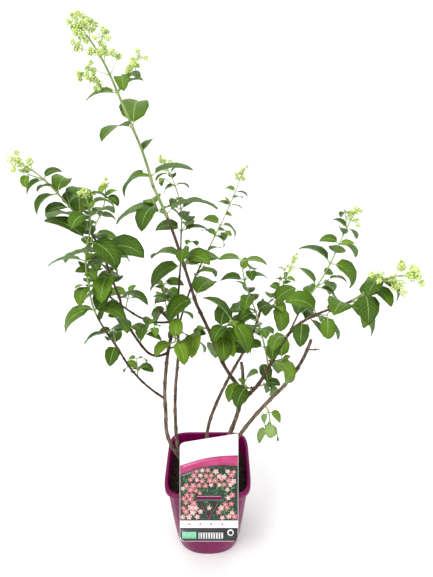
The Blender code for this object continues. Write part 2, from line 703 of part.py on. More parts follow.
def grow_leaves(name, lines, draw, space):
    """The leaves and the side twigs of a shoot, a crossed pair at each node."""
    leaves, twigs = [], []
    leafage = LEAFAGE[name]
    for share, blade, turn in zip(leafage.nodes, leafage.blades, leafage.turns):
        root, direction = at_share(lines[name], share)
        for opposite in (0, 180):
            angle = turn + opposite + draw.uniform(-12, 12)
            leaves += grow_leaf(name, root, direction, angle, blade * LEAF_SCALE, draw, space)
            if share < LAST_TWIG and draw.random() < TWIG_CHANCE:
                more = grow_twig(name, root, direction, angle, blade * LEAF_SCALE, draw, space)
                twigs += more[0]
                leaves += more[1]
    return leaves, twigs


def grow_branch(own, root, direction, turn, reach, draw, space):
    """A branch of a spray and its knobs of buds, at its end and on either side, or nothing without room."""
    angle = math.radians(SPRAY_ANGLE + draw.uniform(-8, 8))
    way = direction * math.cos(angle) + across(direction, turn) * math.sin(angle)
    end = root + way * reach
    knobs = [(end, KNOB_RADIUS * draw.uniform(0.9, 1.2))]
    for k in range(1, int(reach / KNOB_SPACING)):
        spot = end - way * k * KNOB_SPACING * 0.8
        off = across(way, turn + 90 + 180 * (k % 2)) * KNOB_RADIUS * 0.4
        knobs.append((spot + off, KNOB_RADIUS * draw.uniform(0.8, 1.1)))
    room = tube_rings(straight(root, end, way, 0.3), (1.5 * KNOB_RADIUS,) * 2, BOUGH_SIDES)
    if not space.free(room, end + way * 2 * KNOB_RADIUS, own, leaf=False):
        return [], []
    space.place(room, end + way * 2 * KNOB_RADIUS, own)
    return [straight(root, end, way, 0.5)], knobs


def grow_spray(name, lines, draw, space):
    """Branches in crossed pairs, shorter towards the tip, each with its knobs of buds."""
    line, spray = lines[name], SPRAYS[name]
    branches, knobs = [], [(line[0][-1], KNOB_RADIUS)]
    length = sum((b - a).length for a, b in zip(line[0], line[0][1:])) * (1 - spray.start)
    steps = max(1, round(length / SPRAY_STEP))
    plan = [(spray.start - WING_DROP, turn, spray.wings) for turn in WING_TURNS if spray.wings]
    for i in range(steps):
        along = (i + 0.35) / steps
        share = spray.start + (1 - spray.start) * along
        plan += [(share, 90 * i + opposite, spray.reach * (1 - 0.7 * along)) for opposite in (0, 180)]
    for share, turn, reach in plan:
        root, direction = at_share(line, share)
        angle = turn + draw.uniform(-20, 20)
        more = grow_branch(name, root, direction, angle, reach * draw.uniform(0.8, 1.15), draw, space)
        branches += more[0]
        knobs += more[1]
    return branches, knobs


def knob_mesh(name, middle, radius):
    """A tight cluster of flower buds, eight faces on each."""
    bm = bmesh.new()
    bmesh.ops.create_uvsphere(bm, u_segments=4, v_segments=2, radius=radius, matrix=Matrix.Translation(middle))
    bmesh.ops.triangulate(bm, faces=bm.faces[:])
    mesh = bpy.data.meshes.new(name)
    bm.to_mesh(mesh)
    bm.free()
    return mesh


def grow_mass(name, lines, space, draw):
    """One shoot with its leaf pairs, side twigs and spray, fused into one solid."""
    base = add_object(name, tube(name, lines[name], SHOOTS[name].radii, TWIG_SIDES))
    leaves, twigs = grow_leaves(name, lines, draw, space)
    pieces = [loft(name, *leaf_rings(leaf)) for leaf in leaves]
    pieces += [tube(name, ends_of(twig), TWIG_RADII, TWIG_SIDES) for twig in twigs]
    if name in SPRAYS:
        branches, knobs = grow_spray(name, lines, draw, space)
        pieces += [tube(name, ends_of(branch), BRANCH_RADII, TWIG_SIDES) for branch in branches]
        pieces += [knob_mesh(name, middle, radius) for middle, radius in knobs]
    group = bpy.data.collections.new(name)
    bpy.context.scene.collection.children.link(group)
    for i, mesh in enumerate(pieces):
        group.objects.link(bpy.data.objects.new(f"{name}_piece_{i}", mesh))
    boolean(base, "UNION", group=group)
    apply_modifiers(base)
    for piece in list(group.objects):
        bpy.data.objects.remove(piece)
    bpy.data.collections.remove(group)
    return base


def ends_of(line):
    """A straight centre line without its middle point."""
    points, directions = line
    return points[::2], directions[::2]


def make_shrub():
    all_limbs = {**STEMS, **BOUGHS, **DEAD_TWIGS, **SHOOTS}
    lines = {}
    lay_out(all_limbs, lines)
    space = Space()
    for name, limb in all_limbs.items():
        space.add_limb(name, tube_rings(lines[name], limb.radii, sides_of(name), swell=LEAF_CLEARANCE))
    for name, limb in {**STEMS, **BOUGHS, **DEAD_TWIGS}.items():
        rooted = limb.parent is None
        mesh = tube(name, lines[name], limb.radii, sides_of(name), flare=ROOT_FLARE if rooted else 1, flat_foot=rooted)
        obj = add_object(name, mesh)
        if not rooted and not follows_on(limb):
            cut_foot(obj, limb, all_limbs, lines)
        dark = 0.7 if name in BOUGHS else 1
        paint(obj, (0.11 * dark, 0.065 * dark, 0.04 * dark), 0.8)
    for seed, (name, limb) in enumerate(SHOOTS.items()):
        obj = grow_mass(name, lines, space, random.Random(seed))
        if not follows_on(limb):
            cut_foot(obj, limb, all_limbs, lines)
        paint(obj, (0.06, 0.17, 0.01), 0.5)


def main():
    for obj in list(bpy.data.objects):
        bpy.data.objects.remove(obj)
    make_pot()
    make_soil()
    make_label()
    make_shrub()


main()
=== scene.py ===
"""Looks for a potted panicle hydrangea: its pot, peat, hooked label, barked stems, leaves and flower sprays.

Metres, +Z up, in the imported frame: the origin is the middle of the pot's underside and the label faces -Y.
The shrub grows by the same rule as its solids, limb by limb and leaf by leaf, with finer shapes.
"""

import json
import math
import random
from collections import namedtuple

import bmesh
import bpy
import numpy as np
from mathutils import Matrix, Vector, noise
from mathutils.bvhtree import BVHTree

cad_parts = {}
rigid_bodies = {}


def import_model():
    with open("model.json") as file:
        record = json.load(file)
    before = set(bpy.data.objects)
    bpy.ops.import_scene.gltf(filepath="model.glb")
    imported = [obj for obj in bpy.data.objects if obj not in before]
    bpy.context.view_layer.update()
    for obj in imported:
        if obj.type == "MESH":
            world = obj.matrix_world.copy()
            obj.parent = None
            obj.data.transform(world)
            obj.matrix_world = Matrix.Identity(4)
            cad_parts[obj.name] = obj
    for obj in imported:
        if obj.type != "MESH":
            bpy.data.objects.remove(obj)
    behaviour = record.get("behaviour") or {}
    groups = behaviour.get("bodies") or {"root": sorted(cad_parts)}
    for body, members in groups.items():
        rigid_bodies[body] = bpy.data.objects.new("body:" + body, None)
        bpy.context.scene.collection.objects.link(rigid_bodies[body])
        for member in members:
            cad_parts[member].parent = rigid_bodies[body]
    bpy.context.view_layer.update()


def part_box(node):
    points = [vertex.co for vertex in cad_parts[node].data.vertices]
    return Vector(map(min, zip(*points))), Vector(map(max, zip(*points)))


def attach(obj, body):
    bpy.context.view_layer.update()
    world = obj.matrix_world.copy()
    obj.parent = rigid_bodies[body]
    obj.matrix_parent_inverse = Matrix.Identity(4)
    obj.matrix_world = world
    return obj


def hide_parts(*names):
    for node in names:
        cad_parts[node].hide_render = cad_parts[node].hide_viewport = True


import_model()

GAP = 0.0003

# Camera: it looks down on the plant from in front, with the photograph's frame taken as 433 by 577
CAMERA_PLACE = (0.021, -0.83, 1.13)
CAMERA_DIP = 26.4
FOCAL_PIXELS = 460
FRAME_LONG_SIDE = 577
SENSOR = 36

# Pot and soil
POT_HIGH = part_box("pot")[1]
POT_HEIGHT = POT_HIGH.z
RIM_HALF = POT_HIGH.x
RIM_TOP_BAND = 0.012
RIM_OVERHANG = 0.0055
RIM_SQUARENESS = 6.0
BASE_SIDE = 0.164
BASE_SQUARENESS = 2.5
BASE_ROUNDING = 0.008
POT_WALL = 0.0025
POT_FLOOR = 0.005
POT_SEGMENTS = 144
FOOT_WIDTH = 0.009
FOOT_RECESS = 0.002
FOOT_ARC_STEPS = 6
FLOOR_INSET = 0.006
NOTCH_WIDTH = 0.026
NOTCH_HEIGHT = 0.003
WALL_START = 0.02
WALL_RINGS = 16
WALL_END = 0.005
RIB_DEPTH = 0.0004
RIB_COUNT = 44
# The widest ring is this far inside the solid's rim
RIM_PLAY = 0.0005
# The fillet under the band: out from the wall, and below the band's lower edge
RIM_FILLET = (0.0008, 0.002)
# Rings of the band: in from the widest one, and above the band's lower edge or below its top
RIM_LOWER = ((0.0030, -0.0004), (0.0008, 0.0002), (0.0, 0.0016))
RIM_UPPER = ((0.0, 0.0035), (0.0004, 0.0018), (0.0014, 0.0006), (0.0030, 0.0))
RIM_INNER = ((0.0008, 0.0), (0.0, 0.001))
INNER_LEVELS = (POT_HEIGHT - 0.006, 0.215, 0.19, 0.12, 0.05, POT_FLOOR + FLOOR_INSET)

SOIL_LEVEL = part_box("soil")[1].z
SOIL_UNDER = 0.02
SOIL_GRID = 84
# Lumps in the peat: how many to a metre, and how high
SOIL_LUMPS = ((70, 0.0035), (190, 0.0022), (520, 0.0012))
SOIL_CRUMBS = 240
CRUMB_SIZE = (0.0012, 0.0036)
CRUMB_STRETCH = ((0.8, 1.7), (0.7, 1.2), (0.5, 0.9))
CRUMB_REACH = 0.93
CRUMB_RISE = 0.2

# Label
LABEL_WIDTH = 0.133
LABEL_ABOVE_RIM = 0.148
LABEL_BELOW_RIM = 0.100
LABEL_TOP_RISE = 0.022
LABEL_THICKNESS = 0.0012
LABEL_LEAN = 25.0
LABEL_SHIFT = 0.004
LABEL_CORNER = 0.010
CORNER_SHARES = (1.3, 0.5, 1.0, 1.0)
CORNER_SEGMENTS = 7
HANG_DROP = 0.003
HOOK_WIDTH = 0.058
HOOK_DROP = 0.022
HOOK_HALF_THICKNESS = 0.42
HOOK_BEND = (0.0015, 0.002)
HOOK_BEND_STEPS = 5
HOOK_TIP_RISE = 0.003
SLOT_HEIGHT = 0.009
TONGUE_DEPTH = 0.040
TONGUE_CUT = 0.005
TONGUE_SHARE = 0.72
TONGUE_GAP = 0.004
NOTCH_INNER = 0.72
CUTTER_DEPTH = 0.004

# Print on the label, in label coordinates: across it from its middle, and up from its hanging line
PRINT = 0.00004
PRINT_EDGE = 0.0008
PICTURE_FOOT = -0.052
STRIP_TOP = -0.069
BAND_FOOT = (0.0525, 0.0205, 0.010)
BAND_TOP = (0.074, 0.024, 0.007)
FOOT_PATCHES = {"mint": (-0.0617, -0.029, -0.094, -0.078), "white": (-0.024, 0.032, -0.094, -0.080)}
STRIPES = 9
STRIPE_START = -0.022
STRIPE_STEP = 0.0059
STRIPE_WIDTH = 0.0028
STRIPE_SPAN = (-0.0935, -0.0805)
ROUND_MARK = (0.049, -0.080)
ROUND_MARK_RADII = {"white": 0.0075, "black": 0.0045}
ROSE_DOTS = 4
ROSE_DOT_START = (-0.045, -0.0605)
ROSE_DOT_STEP = 0.025
ROSE_DOT_RADIUS = 0.0022
LEAF_SPOTS = 230
LEAF_SPOT_SIZE = (0.0025, 0.0050)
LEAF_SPOT_MARGIN = 0.006
FLOWER_ROWS = 11
FLOWER_COLUMNS = 9
FLOWER_START = (-0.058, PICTURE_FOOT + 0.008)
FLOWER_STEP = (0.0145, 0.0105)
FLOWER_PLAY = 0.0025
FLOWER_RADIUS = (0.0050, 0.0078)
FLOWER_CHANCE = 0.85
ROSE_CHANCE = 0.6
PETALS = 5
PETAL_REACH = 0.52
PETAL_SIZE = (0.50, 0.36)
FLOWER_EYE = 0.2
# Each ink's two tones and how fine they wander
INKS = {
    "magenta": ((0.42, 0.030, 0.140), (0.52, 0.045, 0.185), 45),
    "dark_green": ((0.006, 0.018, 0.010), (0.024, 0.060, 0.026), 170),
    "rose": ((0.50, 0.130, 0.175), (0.66, 0.230, 0.270), 260),
    "pale_rose": ((0.66, 0.330, 0.340), (0.80, 0.520, 0.500), 260),
    "cream": ((0.78, 0.700, 0.560), (0.86, 0.800, 0.700), 120),
    "leaf_green": ((0.050, 0.150, 0.050), (0.110, 0.260, 0.110), 200),
    "black": ((0.012, 0.013, 0.016), (0.022, 0.024, 0.028), 60),
    "mint": ((0.200, 0.520, 0.330), (0.250, 0.600, 0.390), 60),
    "white": ((0.78, 0.78, 0.78), (0.85, 0.85, 0.85), 60),
}
INK_PLACES = {ink: place for place, ink in enumerate(INKS)}

# Shrub
PATH_STEP = 0.020
STEM_SIDES = 7
BOUGH_SIDES = 6
TWIG_SIDES = 3

Limb = namedtuple("Limb", "parent share length headings rises radii")

# A stem has its foot on the soil in place of a parent.
FEET = {
    "stem_left": (-0.046, -0.008),
    "stem_left_inner": (-0.040, 0.020),
    "stem_back": (0.0, 0.022),
    "stem_right": (0.020, 0.002),
    "stem_low_right": (0.024, -0.020),
}

STEMS = {
    "stem_left": Limb(
        None, 0, 0.495, (170, 200, 140, 20, 5, 215), (75, 65, 95, 85, 80, 35), (0.0048, 0.0034)
    ),
    "stem_left_inner": Limb(None, 0, 0.425, (200, 80, 45, 65), (50, 90, 80, 90), (0.0048, 0.0030)),
    "stem_back": Limb(None, 0, 0.475, (135, 20, 30, 30), (80, 70, 55, 80), (0.0045, 0.0030)),
    "stem_right": Limb(None, 0, 0.350, (-10, 0, 0, 0), (85, 70, 80, 100), (0.0066, 0.0034)),
    "stem_low_right": Limb(None, 0, 0.480, (-10, -10, -10, -20), (80, 65, 55, 80), (0.0050, 0.0032)),
}

BOUGHS = {
    "bough_tall": Limb("stem_right", 0.78, 0.235, (175, 165, 165), (50, 70, 65), (0.0042, 0.0034)),
    "bough_right": Limb(
        "stem_right", 0.70, 0.320, (-35, -55, -65, -70), (50, 65, 65, 50), (0.0044, 0.0028)
    ),
    "bough_left_low": Limb("stem_left", 0.53, 0.210, (-150, -130, -120), (50, 60, 70), (0.0026, 0.0020)),
    "bough_left": Limb(
        "stem_left", 0.78, 0.215, (-125, -140, -140, -125), (0, 60, 70, 85), (0.0028, 0.0023)
    ),
    "bough_left_back": Limb("stem_left", 0.92, 0.170, (165, 165, 160), (-20, 30, 35), (0.0024, 0.0020)),
    "bough_centre": Limb("stem_left_inner", 1.0, 0.135, (90, 80), (60, 60), (0.0026, 0.0020)),
    "bough_centre_right": Limb("stem_left_inner", 0.96, 0.120, (60, 72), (60, 30), (0.0023, 0.0019)),
}

DEAD_TWIGS = {
    "dead_twig_left": Limb("stem_left", 0.80, 0.050, (-10, 5), (15, 45), (0.0021, 0.0014)),
    "dead_twig_right": Limb("stem_right", 0.80, 0.045, (-30, -20), (10, 50), (0.0020, 0.0013)),
    "dead_twig_low": Limb("stem_low_right", 0.95, 0.024, (-20, 10), (0, 10), (0.0016, 0.0011)),
    "curled_twig": Limb(
        "stem_low_right", 0.75, 0.062, (-20, 60, 150, 200), (-5, 60, 50, -10), (0.0015, 0.0011)
    ),
}

SHOOTS = {
    "tall_shoot": Limb("bough_tall", 1.0, 0.260, (175, 175, 170), (75, 75, 65), (0.0033, 0.0029)),
    "tall_top": Limb("tall_shoot", 1.0, 0.290, (205, 195, 200, 190), (80, 70, 70, 50), (0.0028, 0.0016)),
    "left_low_shoot": Limb(
        "bough_left_low", 1.0, 0.330, (-150, -135, -95, 5, 10), (65, 70, 90, 70, 105), (0.0020, 0.0012)
    ),
    "left_leaves": Limb("bough_left", 1.0, 0.100, (190, 190), (75, 80), (0.0022, 0.0020)),
    "left_shoot": Limb("left_leaves", 1.0, 0.200, (200, 200, 205, 200), (65, 60, 55, 30), (0.0019, 0.0010)),
    "left_back_shoot": Limb(
        "bough_left_back", 1.0, 0.235, (165, 80, 45, 15), (50, 80, 50, 95), (0.0019, 0.0011)
    ),
    "centre_tuft": Limb("stem_left_inner", 0.93, 0.120, (150, 90), (50, 65), (0.0017, 0.0012)),
    "centre_shoot": Limb(
        "bough_centre", 1.0, 0.240, (90, 80, 140, 145), (70, 70, 65, 45), (0.0019, 0.0010)
    ),
    "centre_right_shoot": Limb(
        "bough_centre_right", 1.0, 0.285, (50, 46, 50), (50, 50, 60), (0.0018, 0.0009)
    ),
    "back_shoot": Limb("stem_back", 0.96, 0.155, (35, 45, 65), (0, 50, 40), (0.0017, 0.0010)),
    "inner_shoot": Limb(
        "bough_right", 0.47, 0.245, (90, 120, 160, 140), (25, 65, 65, 90), (0.0019, 0.0011)
    ),
    "right_shoot": Limb(
        "bough_right", 1.0, 0.255, (-40, -40, -60, -45), (50, 35, 55, 10), (0.0024, 0.0012)
    ),
    "right_upper_shoot": Limb(
        "bough_right", 0.90, 0.255, (40, 30, 35, 45), (65, 45, 65, 45), (0.0018, 0.0010)
    ),
    "tall_side_shoot": Limb("bough_tall", 0.68, 0.105, (-55, -55), (35, 50), (0.0018, 0.0012)),
    "low_right_tuft": Limb("stem_low_right", 0.58, 0.055, (-35, -120), (-40, -75), (0.0015, 0.0011)),
    "left_low_tuft": Limb("bough_left_low", 0.53, 0.018, (90, 90), (60, 60), (0.0013, 0.0011)),
    "left_tuft": Limb("bough_left", 0.45, 0.034, (40, 20), (55, 75), (0.0014, 0.0011)),
    "left_tuft_high": Limb("bough_left", 0.78, 0.016, (215, 215), (25, 25), (0.0013, 0.0011)),
    "left_back_tuft": Limb("bough_left_back", 0.62, 0.034, (80, 60), (45, 70), (0.0014, 0.0011)),
    "stem_tuft": Limb("stem_left", 0.83, 0.050, (-80, -50), (20, 50), (0.0016, 0.0012)),
    "stem_top_tuft": Limb("stem_left", 0.90, 0.060, (80, 110), (20, 60), (0.0016, 0.0012)),
    "inner_stem_tuft": Limb("stem_left_inner", 0.88, 0.055, (-30, -10), (30, 50), (0.0016, 0.0012)),
    "tall_low_tuft": Limb("bough_tall", 0.45, 0.022, (60, 60), (30, 50), (0.0016, 0.0013)),
    "right_low_tuft": Limb("bough_right", 0.17, 0.024, (170, 150), (20, 45), (0.0015, 0.0012)),
    "right_foot_tuft": Limb("bough_right", 0.24, 0.026, (10, 20), (-10, 30), (0.0015, 0.0012)),
    "right_tuft": Limb("bough_right", 0.50, 0.028, (20, 0), (15, 30), (0.0015, 0.0012)),
    "right_tuft_high": Limb("bough_right", 0.86, 0.026, (-150, -160), (0, 20), (0.0015, 0.0012)),
    "back_tuft": Limb("stem_back", 0.88, 0.048, (170, 190), (15, 45), (0.0016, 0.0012)),
    "back_tuft_right": Limb("stem_back", 0.95, 0.042, (-30, -50), (25, 40), (0.0016, 0.0012)),
}

# Leaf pairs on each shoot: shares along it, the blades' lengths and the turns of their first leaves.
Leafage = namedtuple("Leafage", "nodes blades turns")

LEAFAGE = {
    "tall_shoot": Leafage((0.05, 0.34, 0.41, 0.77), (0.062, 0.064, 0.058, 0.082), (215, 195, 150, 170)),
    "tall_top": Leafage((0.06, 0.37, 0.58), (0.062, 0.068, 0.048), (175, 240, 180)),
    "left_low_shoot": Leafage(
        (0.04, 0.15, 0.33, 0.48, 0.63, 0.74, 0.87, 0.97),
        (0.036, 0.036, 0.054, 0.040, 0.052, 0.060, 0.042, 0.030),
        (260, 0, 185, 80, 200, 170, 70, 180),
    ),
    "left_leaves": Leafage((0.06, 0.50, 0.90), (0.056, 0.052, 0.062), (180, 270, 350)),
    "left_shoot": Leafage((0.12, 0.30, 0.58, 0.73), (0.040, 0.060, 0.042, 0.028), (110, 195, 230, 20)),
    "left_back_shoot": Leafage(
        (0.06, 0.28, 0.53, 0.70, 0.88, 0.97),
        (0.046, 0.046, 0.044, 0.036, 0.034, 0.022),
        (190, 100, 170, 60, 350, 80),
    ),
    "centre_tuft": Leafage((0.50, 0.78, 0.97), (0.038, 0.040, 0.040), (200, 110, 180)),
    "centre_shoot": Leafage(
        (0.28, 0.48, 0.56, 0.70, 0.82), (0.054, 0.046, 0.038, 0.030, 0.034), (190, 170, 80, 180, 10)
    ),
    "centre_right_shoot": Leafage(
        (0.03, 0.12, 0.40, 0.50, 0.68, 0.80),
        (0.042, 0.050, 0.036, 0.042, 0.028, 0.028),
        (80, 350, 190, 185, 0, 180),
    ),
    "back_shoot": Leafage((0.20, 0.40, 0.62), (0.044, 0.034, 0.024), (0, 180, 350)),
    "inner_shoot": Leafage(
        (0.18, 0.34, 0.50, 0.66, 0.80, 0.97),
        (0.046, 0.048, 0.046, 0.044, 0.046, 0.040),
        (350, 100, 190, 80, 180, 150),
    ),
    "right_shoot": Leafage(
        (0.06, 0.20, 0.43, 0.62, 0.75), (0.046, 0.048, 0.062, 0.050, 0.040), (60, 150, 175, 80, 10)
    ),
    "right_upper_shoot": Leafage(
        (0.20, 0.38, 0.57, 0.72, 0.84), (0.042, 0.046, 0.054, 0.034, 0.024), (80, 190, 175, 180, 200)
    ),
    "tall_side_shoot": Leafage((0.45, 0.72, 0.97), (0.058, 0.050, 0.062), (90, 200, 120)),
    "low_right_tuft": Leafage((0.30, 0.65, 0.97), (0.034, 0.036, 0.036), (180, 270, 200)),
    "left_low_tuft": Leafage((0.60, 0.97), (0.030, 0.036), (90, 180)),
    "left_tuft": Leafage((0.60, 0.97), (0.034, 0.036), (160, 60)),
    "left_tuft_high": Leafage((0.97,), (0.044,), (90,)),
    "left_back_tuft": Leafage((0.60, 0.97), (0.036, 0.036), (150, 40)),
    "stem_tuft": Leafage((0.60, 0.97), (0.042, 0.044), (180, 120)),
    "stem_top_tuft": Leafage((0.50, 0.80, 0.97), (0.046, 0.046, 0.040), (170, 90, 0)),
    "inner_stem_tuft": Leafage((0.55, 0.97), (0.056, 0.056), (180, 60)),
    "tall_low_tuft": Leafage((0.70, 0.97), (0.064, 0.050), (0, 100)),
    "right_low_tuft": Leafage((0.60, 0.97), (0.050, 0.048), (250, 150)),
    "right_foot_tuft": Leafage((0.60, 0.97), (0.036, 0.036), (90, 0)),
    "right_tuft": Leafage((0.50, 0.97), (0.056, 0.050), (90, 0)),
    "right_tuft_high": Leafage((0.55, 0.97), (0.038, 0.036), (200, 90)),
    "back_tuft": Leafage((0.55, 0.97), (0.048, 0.046), (180, 80)),
    "back_tuft_right": Leafage((0.55, 0.97), (0.052, 0.056), (0, 90)),
}

# Flower sprays: the share of the shoot where each begins, how far its branches reach at first and, where it
# has them, the length of the pair of long branches below the rest.
Spray = namedtuple("Spray", "start reach wings")

SPRAYS = {
    "tall_top": Spray(0.66, 0.038, 0.062),
    "left_shoot": Spray(0.80, 0.015, 0),
    "left_low_shoot": Spray(0.97, 0.005, 0),
    "left_back_shoot": Spray(0.96, 0.006, 0),
    "centre_shoot": Spray(0.84, 0.012, 0),
    "centre_right_shoot": Spray(0.88, 0.012, 0),
    "back_shoot": Spray(0.76, 0.012, 0),
    "right_shoot": Spray(0.74, 0.022, 0),
    "right_upper_shoot": Spray(0.88, 0.012, 0),
}
SPRAY_STEP = 0.020
SPRAY_ANGLE = 52.0
BRANCH_RADII = (0.0009, 0.0006)
KNOB_RADIUS = 0.0056
KNOB_SPACING = 0.020
WING_DROP = 0.07
WING_TURNS = (-10, 170)
SPRAY_FIRST = 0.35
SPRAY_TAPER = 0.7
SPRAY_ANGLE_PLAY = 8
SPRAY_TURN_PLAY = 20
SPRAY_REACH_PLAY = (0.8, 1.15)
END_KNOB = (0.9, 1.2)
SIDE_KNOB = (0.8, 1.1)
SIDE_KNOB_STEP = 0.8
SIDE_KNOB_OFFSET = 0.4
# The room that a flower branch needs, in knob radii, and the share of it where it comes clear of its shoot
BRANCH_ROOM = 1.5
BRANCH_TIP_ROOM = 2
BRANCH_CLEAR = 0.3

# Leaf: stations along its blade are shares of the whole leaf's length, as are their half widths and keels.
# The whole leaf, with its stalk, is LEAF_SCALE times the length that LEAFAGE gives.
LEAF_SCALE = 1.5
STALK_RADIUS = 0.0010
STALK_SHARE = 0.14
BLADE_STATIONS = ((0.36, 0.27, 0.020), (0.68, 0.19, 0.016))
LEAF_LIFT = 55.0
LEAF_ARCH = 88.0
LEAF_CLEARANCE = 0.0006
LEAF_TURN_PLAY = 12
LEAF_LIFT_PLAY = 12
LEAF_ARCH_PLAY = 30
LEAF_ROLL_PLAY = 25
LEAF_LENGTH_PLAY = (0.88, 1.10)
LEAF_TRIES = ((0, 0), (16, 0), (-16, 0), (32, -12), (-32, 12), (50, 0), (-50, 0), (75, 15), (-75, -15))

# Side twigs start in a leaf's axil, and each carries a pair of smaller leaves
TWIG_CHANCE = 0.16
TWIG_LENGTH = (0.020, 0.036)
TWIG_ANGLE = 32.0
TWIG_RADII = (0.0012, 0.0009)
TWIG_LEAF = 0.72
TWIG_NODE = 0.90
TWIG_CLEAR = 0.4
TWIG_ANGLE_PLAY = 8
TWIG_TURN_PLAY = 20
TWIG_LEAF_PLAY = (0.85, 1.15)
LAST_TWIG = 0.90

Leaf = namedtuple("Leaf", "root start roll length arch")

# Finer shapes than the solids have
FINER = 4
STEM_RING = 14
SHOOT_RING = 8
STALK_RING = 5
BUD_STALK_RING = 4

# Bark, with distances along a limb in metres
LET_IN = 0.003
ROOT_SINK = 0.012
FOOT_FLARE = 0.35
JOINT_FLARE = 0.18
FLARE_REACH = 0.010
NODE_REACH = 0.0045
WOOD_NODE = 0.22
SHOOT_NODE = 0.32
NODE_SPACING = 0.055
NODE_PLACE = 0.6
NODE_PLAY = 0.15
CRACKS = (700, 700, 55)
CRACK_DEPTH = 0.10
LUMPS = 120
LUMP_DEPTH = 0.08
OLD_BUD = (0.0025, 0.0055)
OLD_BUD_LEAN = 0.5
OLD_BUD_REACH = 0.8
OLD_BUD_RADII = (0.36, 0.14)
OLD_BUD_SIDES = 7

# Blades: widths and depths are shares of the leaf's length, and thicknesses are in metres
BLADE_COLUMNS = 4
BLADE_ROWS = 8
BLADE_WIDE = 0.275
BLADE_BASE = 0.58
BLADE_TIP = 0.85
BLADE_LEAST = 0.012
BLADE_FOLD = 0.22
FOLD_PLAY = (0.5, 1.5)
FOLD_CURVE = 1.4
BLADE_THIN = 0.0005
EDGE_THIN = 0.5
TOOTH = 0.03
QUILT = 0.006
QUILT_DIP = -0.6
QUILT_SPAN = (0.3, 0.7)
MARGIN_WAVE = 0.018
WAVE_PLAY = (0.4, 1.3)
WAVE_PITCH = 5
WAVE_SHIFT = 2
TINT_PLAY = (-0.05, 0.5)
SIDE_VEINS = 8.0
VEIN_SLANT = -0.30
SIDE_VEIN_EDGE = 0.09
SIDE_VEIN_SHARE = 0.55
MIDRIB_EDGE = (0.02, 0.07)
STALK_STATIONS = (0.0, 0.07, STALK_SHARE, 0.30, 0.48, 0.66, 0.82)
STALK_SWELL = 1.05
STALK_TAPER = 1.1
STALK_LEAST = 0.0001
STALK_SUNK = 0.1
MIDRIB_SUNK = 0.35
FULL_STALK_LEAF = 0.05
LEAF_SHRINK = 0.86

# Young leaves, in the axils of each pair and between the pairs
YOUNG_LEAF = (0.018, 0.032)
BETWEEN_LEAF = (0.030, 0.046)
AXIL_TURNS = ((25, 205), (155, 335))
BETWEEN_TURNS = (50, 230)
YOUNG_ANGLE = (20, 48)
YOUNG_ROLL_PLAY = 30
YOUNG_ARCH = (40, 80)
YOUNG_CHANCE = 0.8

# Flower buds: reaches and side clusters' sizes are in knob radii
BUD_RADIUS = 0.00155
BUDS = 18
BUD_TURN = math.pi * (3 - math.sqrt(5))
BUD_TURN_PLAY = 0.3
BUD_REACH = (0.55, 1.15)
BUD_PLAY = (0.75, 1.2)
SIDE_CLUSTERS = {"tall_top": 4, "right_shoot": 2}
SIDE_REACH = (1.5, 2.2)
SIDE_SIZE = (0.55, 0.8)
SIDE_STALK = (0.0006, 0.0004)
BUD_STALKS = 5
BUD_STALK = (0.0005, 0.0004)

OWN_TONE_CHANCE = 0.68
VEIN_PALE = (0.30, 0.42, 0.14)
VEIN_BLADE_SHARE = 0.55
LEAF_TONES = {
    "deep": ((0.026, 0.068, 0.001), (0.055, 0.120, 0.003)),
    "mid": ((0.050, 0.118, 0.002), (0.105, 0.205, 0.007)),
    "fresh": ((0.100, 0.200, 0.005), (0.185, 0.310, 0.018)),
    "pale": ((0.180, 0.300, 0.065), (0.280, 0.410, 0.125)),
}
# Where a shoot's leaves aren't mostly mid green
SHOOT_TONES = {
    "low_right_tuft": "pale",
    "stem_tuft": "fresh",
    "inner_stem_tuft": "fresh",
    "left_leaves": "deep",
    "left_back_shoot": "deep",
    "right_tuft": "fresh",
    "tall_low_tuft": "fresh",
    "left_shoot": "deep",
}
NEXT_TONE = {"deep": "mid", "mid": "deep", "fresh": "mid", "pale": "fresh"}

# The share of a shoot from which it is green, where that isn't the usual one
GREEN_SHARES = {
    "tall_shoot": 0.75,
    "tall_top": 0.0,
    "left_shoot": 0.2,
    "left_leaves": 1.0,
    "right_shoot": 0.5,
}
GREEN_FROM = 0.3

# Stage: the floor runs back level from its front, then sweeps up, and soft lamps light plant and backdrop
FLOOR_FRONT = -3.5
FLOOR_RUN = 9.0
FLOOR_BACK = 1.6
FLOOR_BEND = 1.6
FLOOR_REACH = 7.0
FLOOR_GRID = (40, 80)
SKY_STRENGTH = 0.72

Lamp = namedtuple("Lamp", "place target size power")

LAMPS = {
    "key": Lamp((-1.3, -1.6, 2.6), (0, 0, 0.5), 1.2, 62),
    "fill": Lamp((1.8, -1.4, 1.8), (0, 0, 0.5), 1.8, 16),
    "backdrop": Lamp((0, 0.9, 3.4), (0, 3.2, 0.9), 2.5, 60),
}


# Small tools


def add_object(name, data):
    obj = bpy.data.objects.new(name, data)
    bpy.context.scene.collection.objects.link(obj)
    return obj


def as_object(name, bm):
    """A bmesh made an object's mesh, and let go."""
    mesh = bpy.data.meshes.new(name)
    bm.to_mesh(mesh)
    bm.free()
    return add_object(name, mesh)


def gather(name, meshes, finishes, sharp=None):
    """Joins bmeshes into one piece with its finishes, shaded smooth, that rides on the plant."""
    objects = []
    for bm in meshes:
        bmesh.ops.recalc_face_normals(bm, faces=bm.faces[:])
        objects.append(as_object(name, bm))
        for finish in finishes:
            objects[-1].data.materials.append(finish)
    piece = objects[0]
    if len(objects) > 1:
        with bpy.context.temp_override(
            active_object=piece, object=piece, selected_objects=objects, selected_editable_objects=objects
        ):
            bpy.ops.object.join()
    return dress(piece, name, sharp)


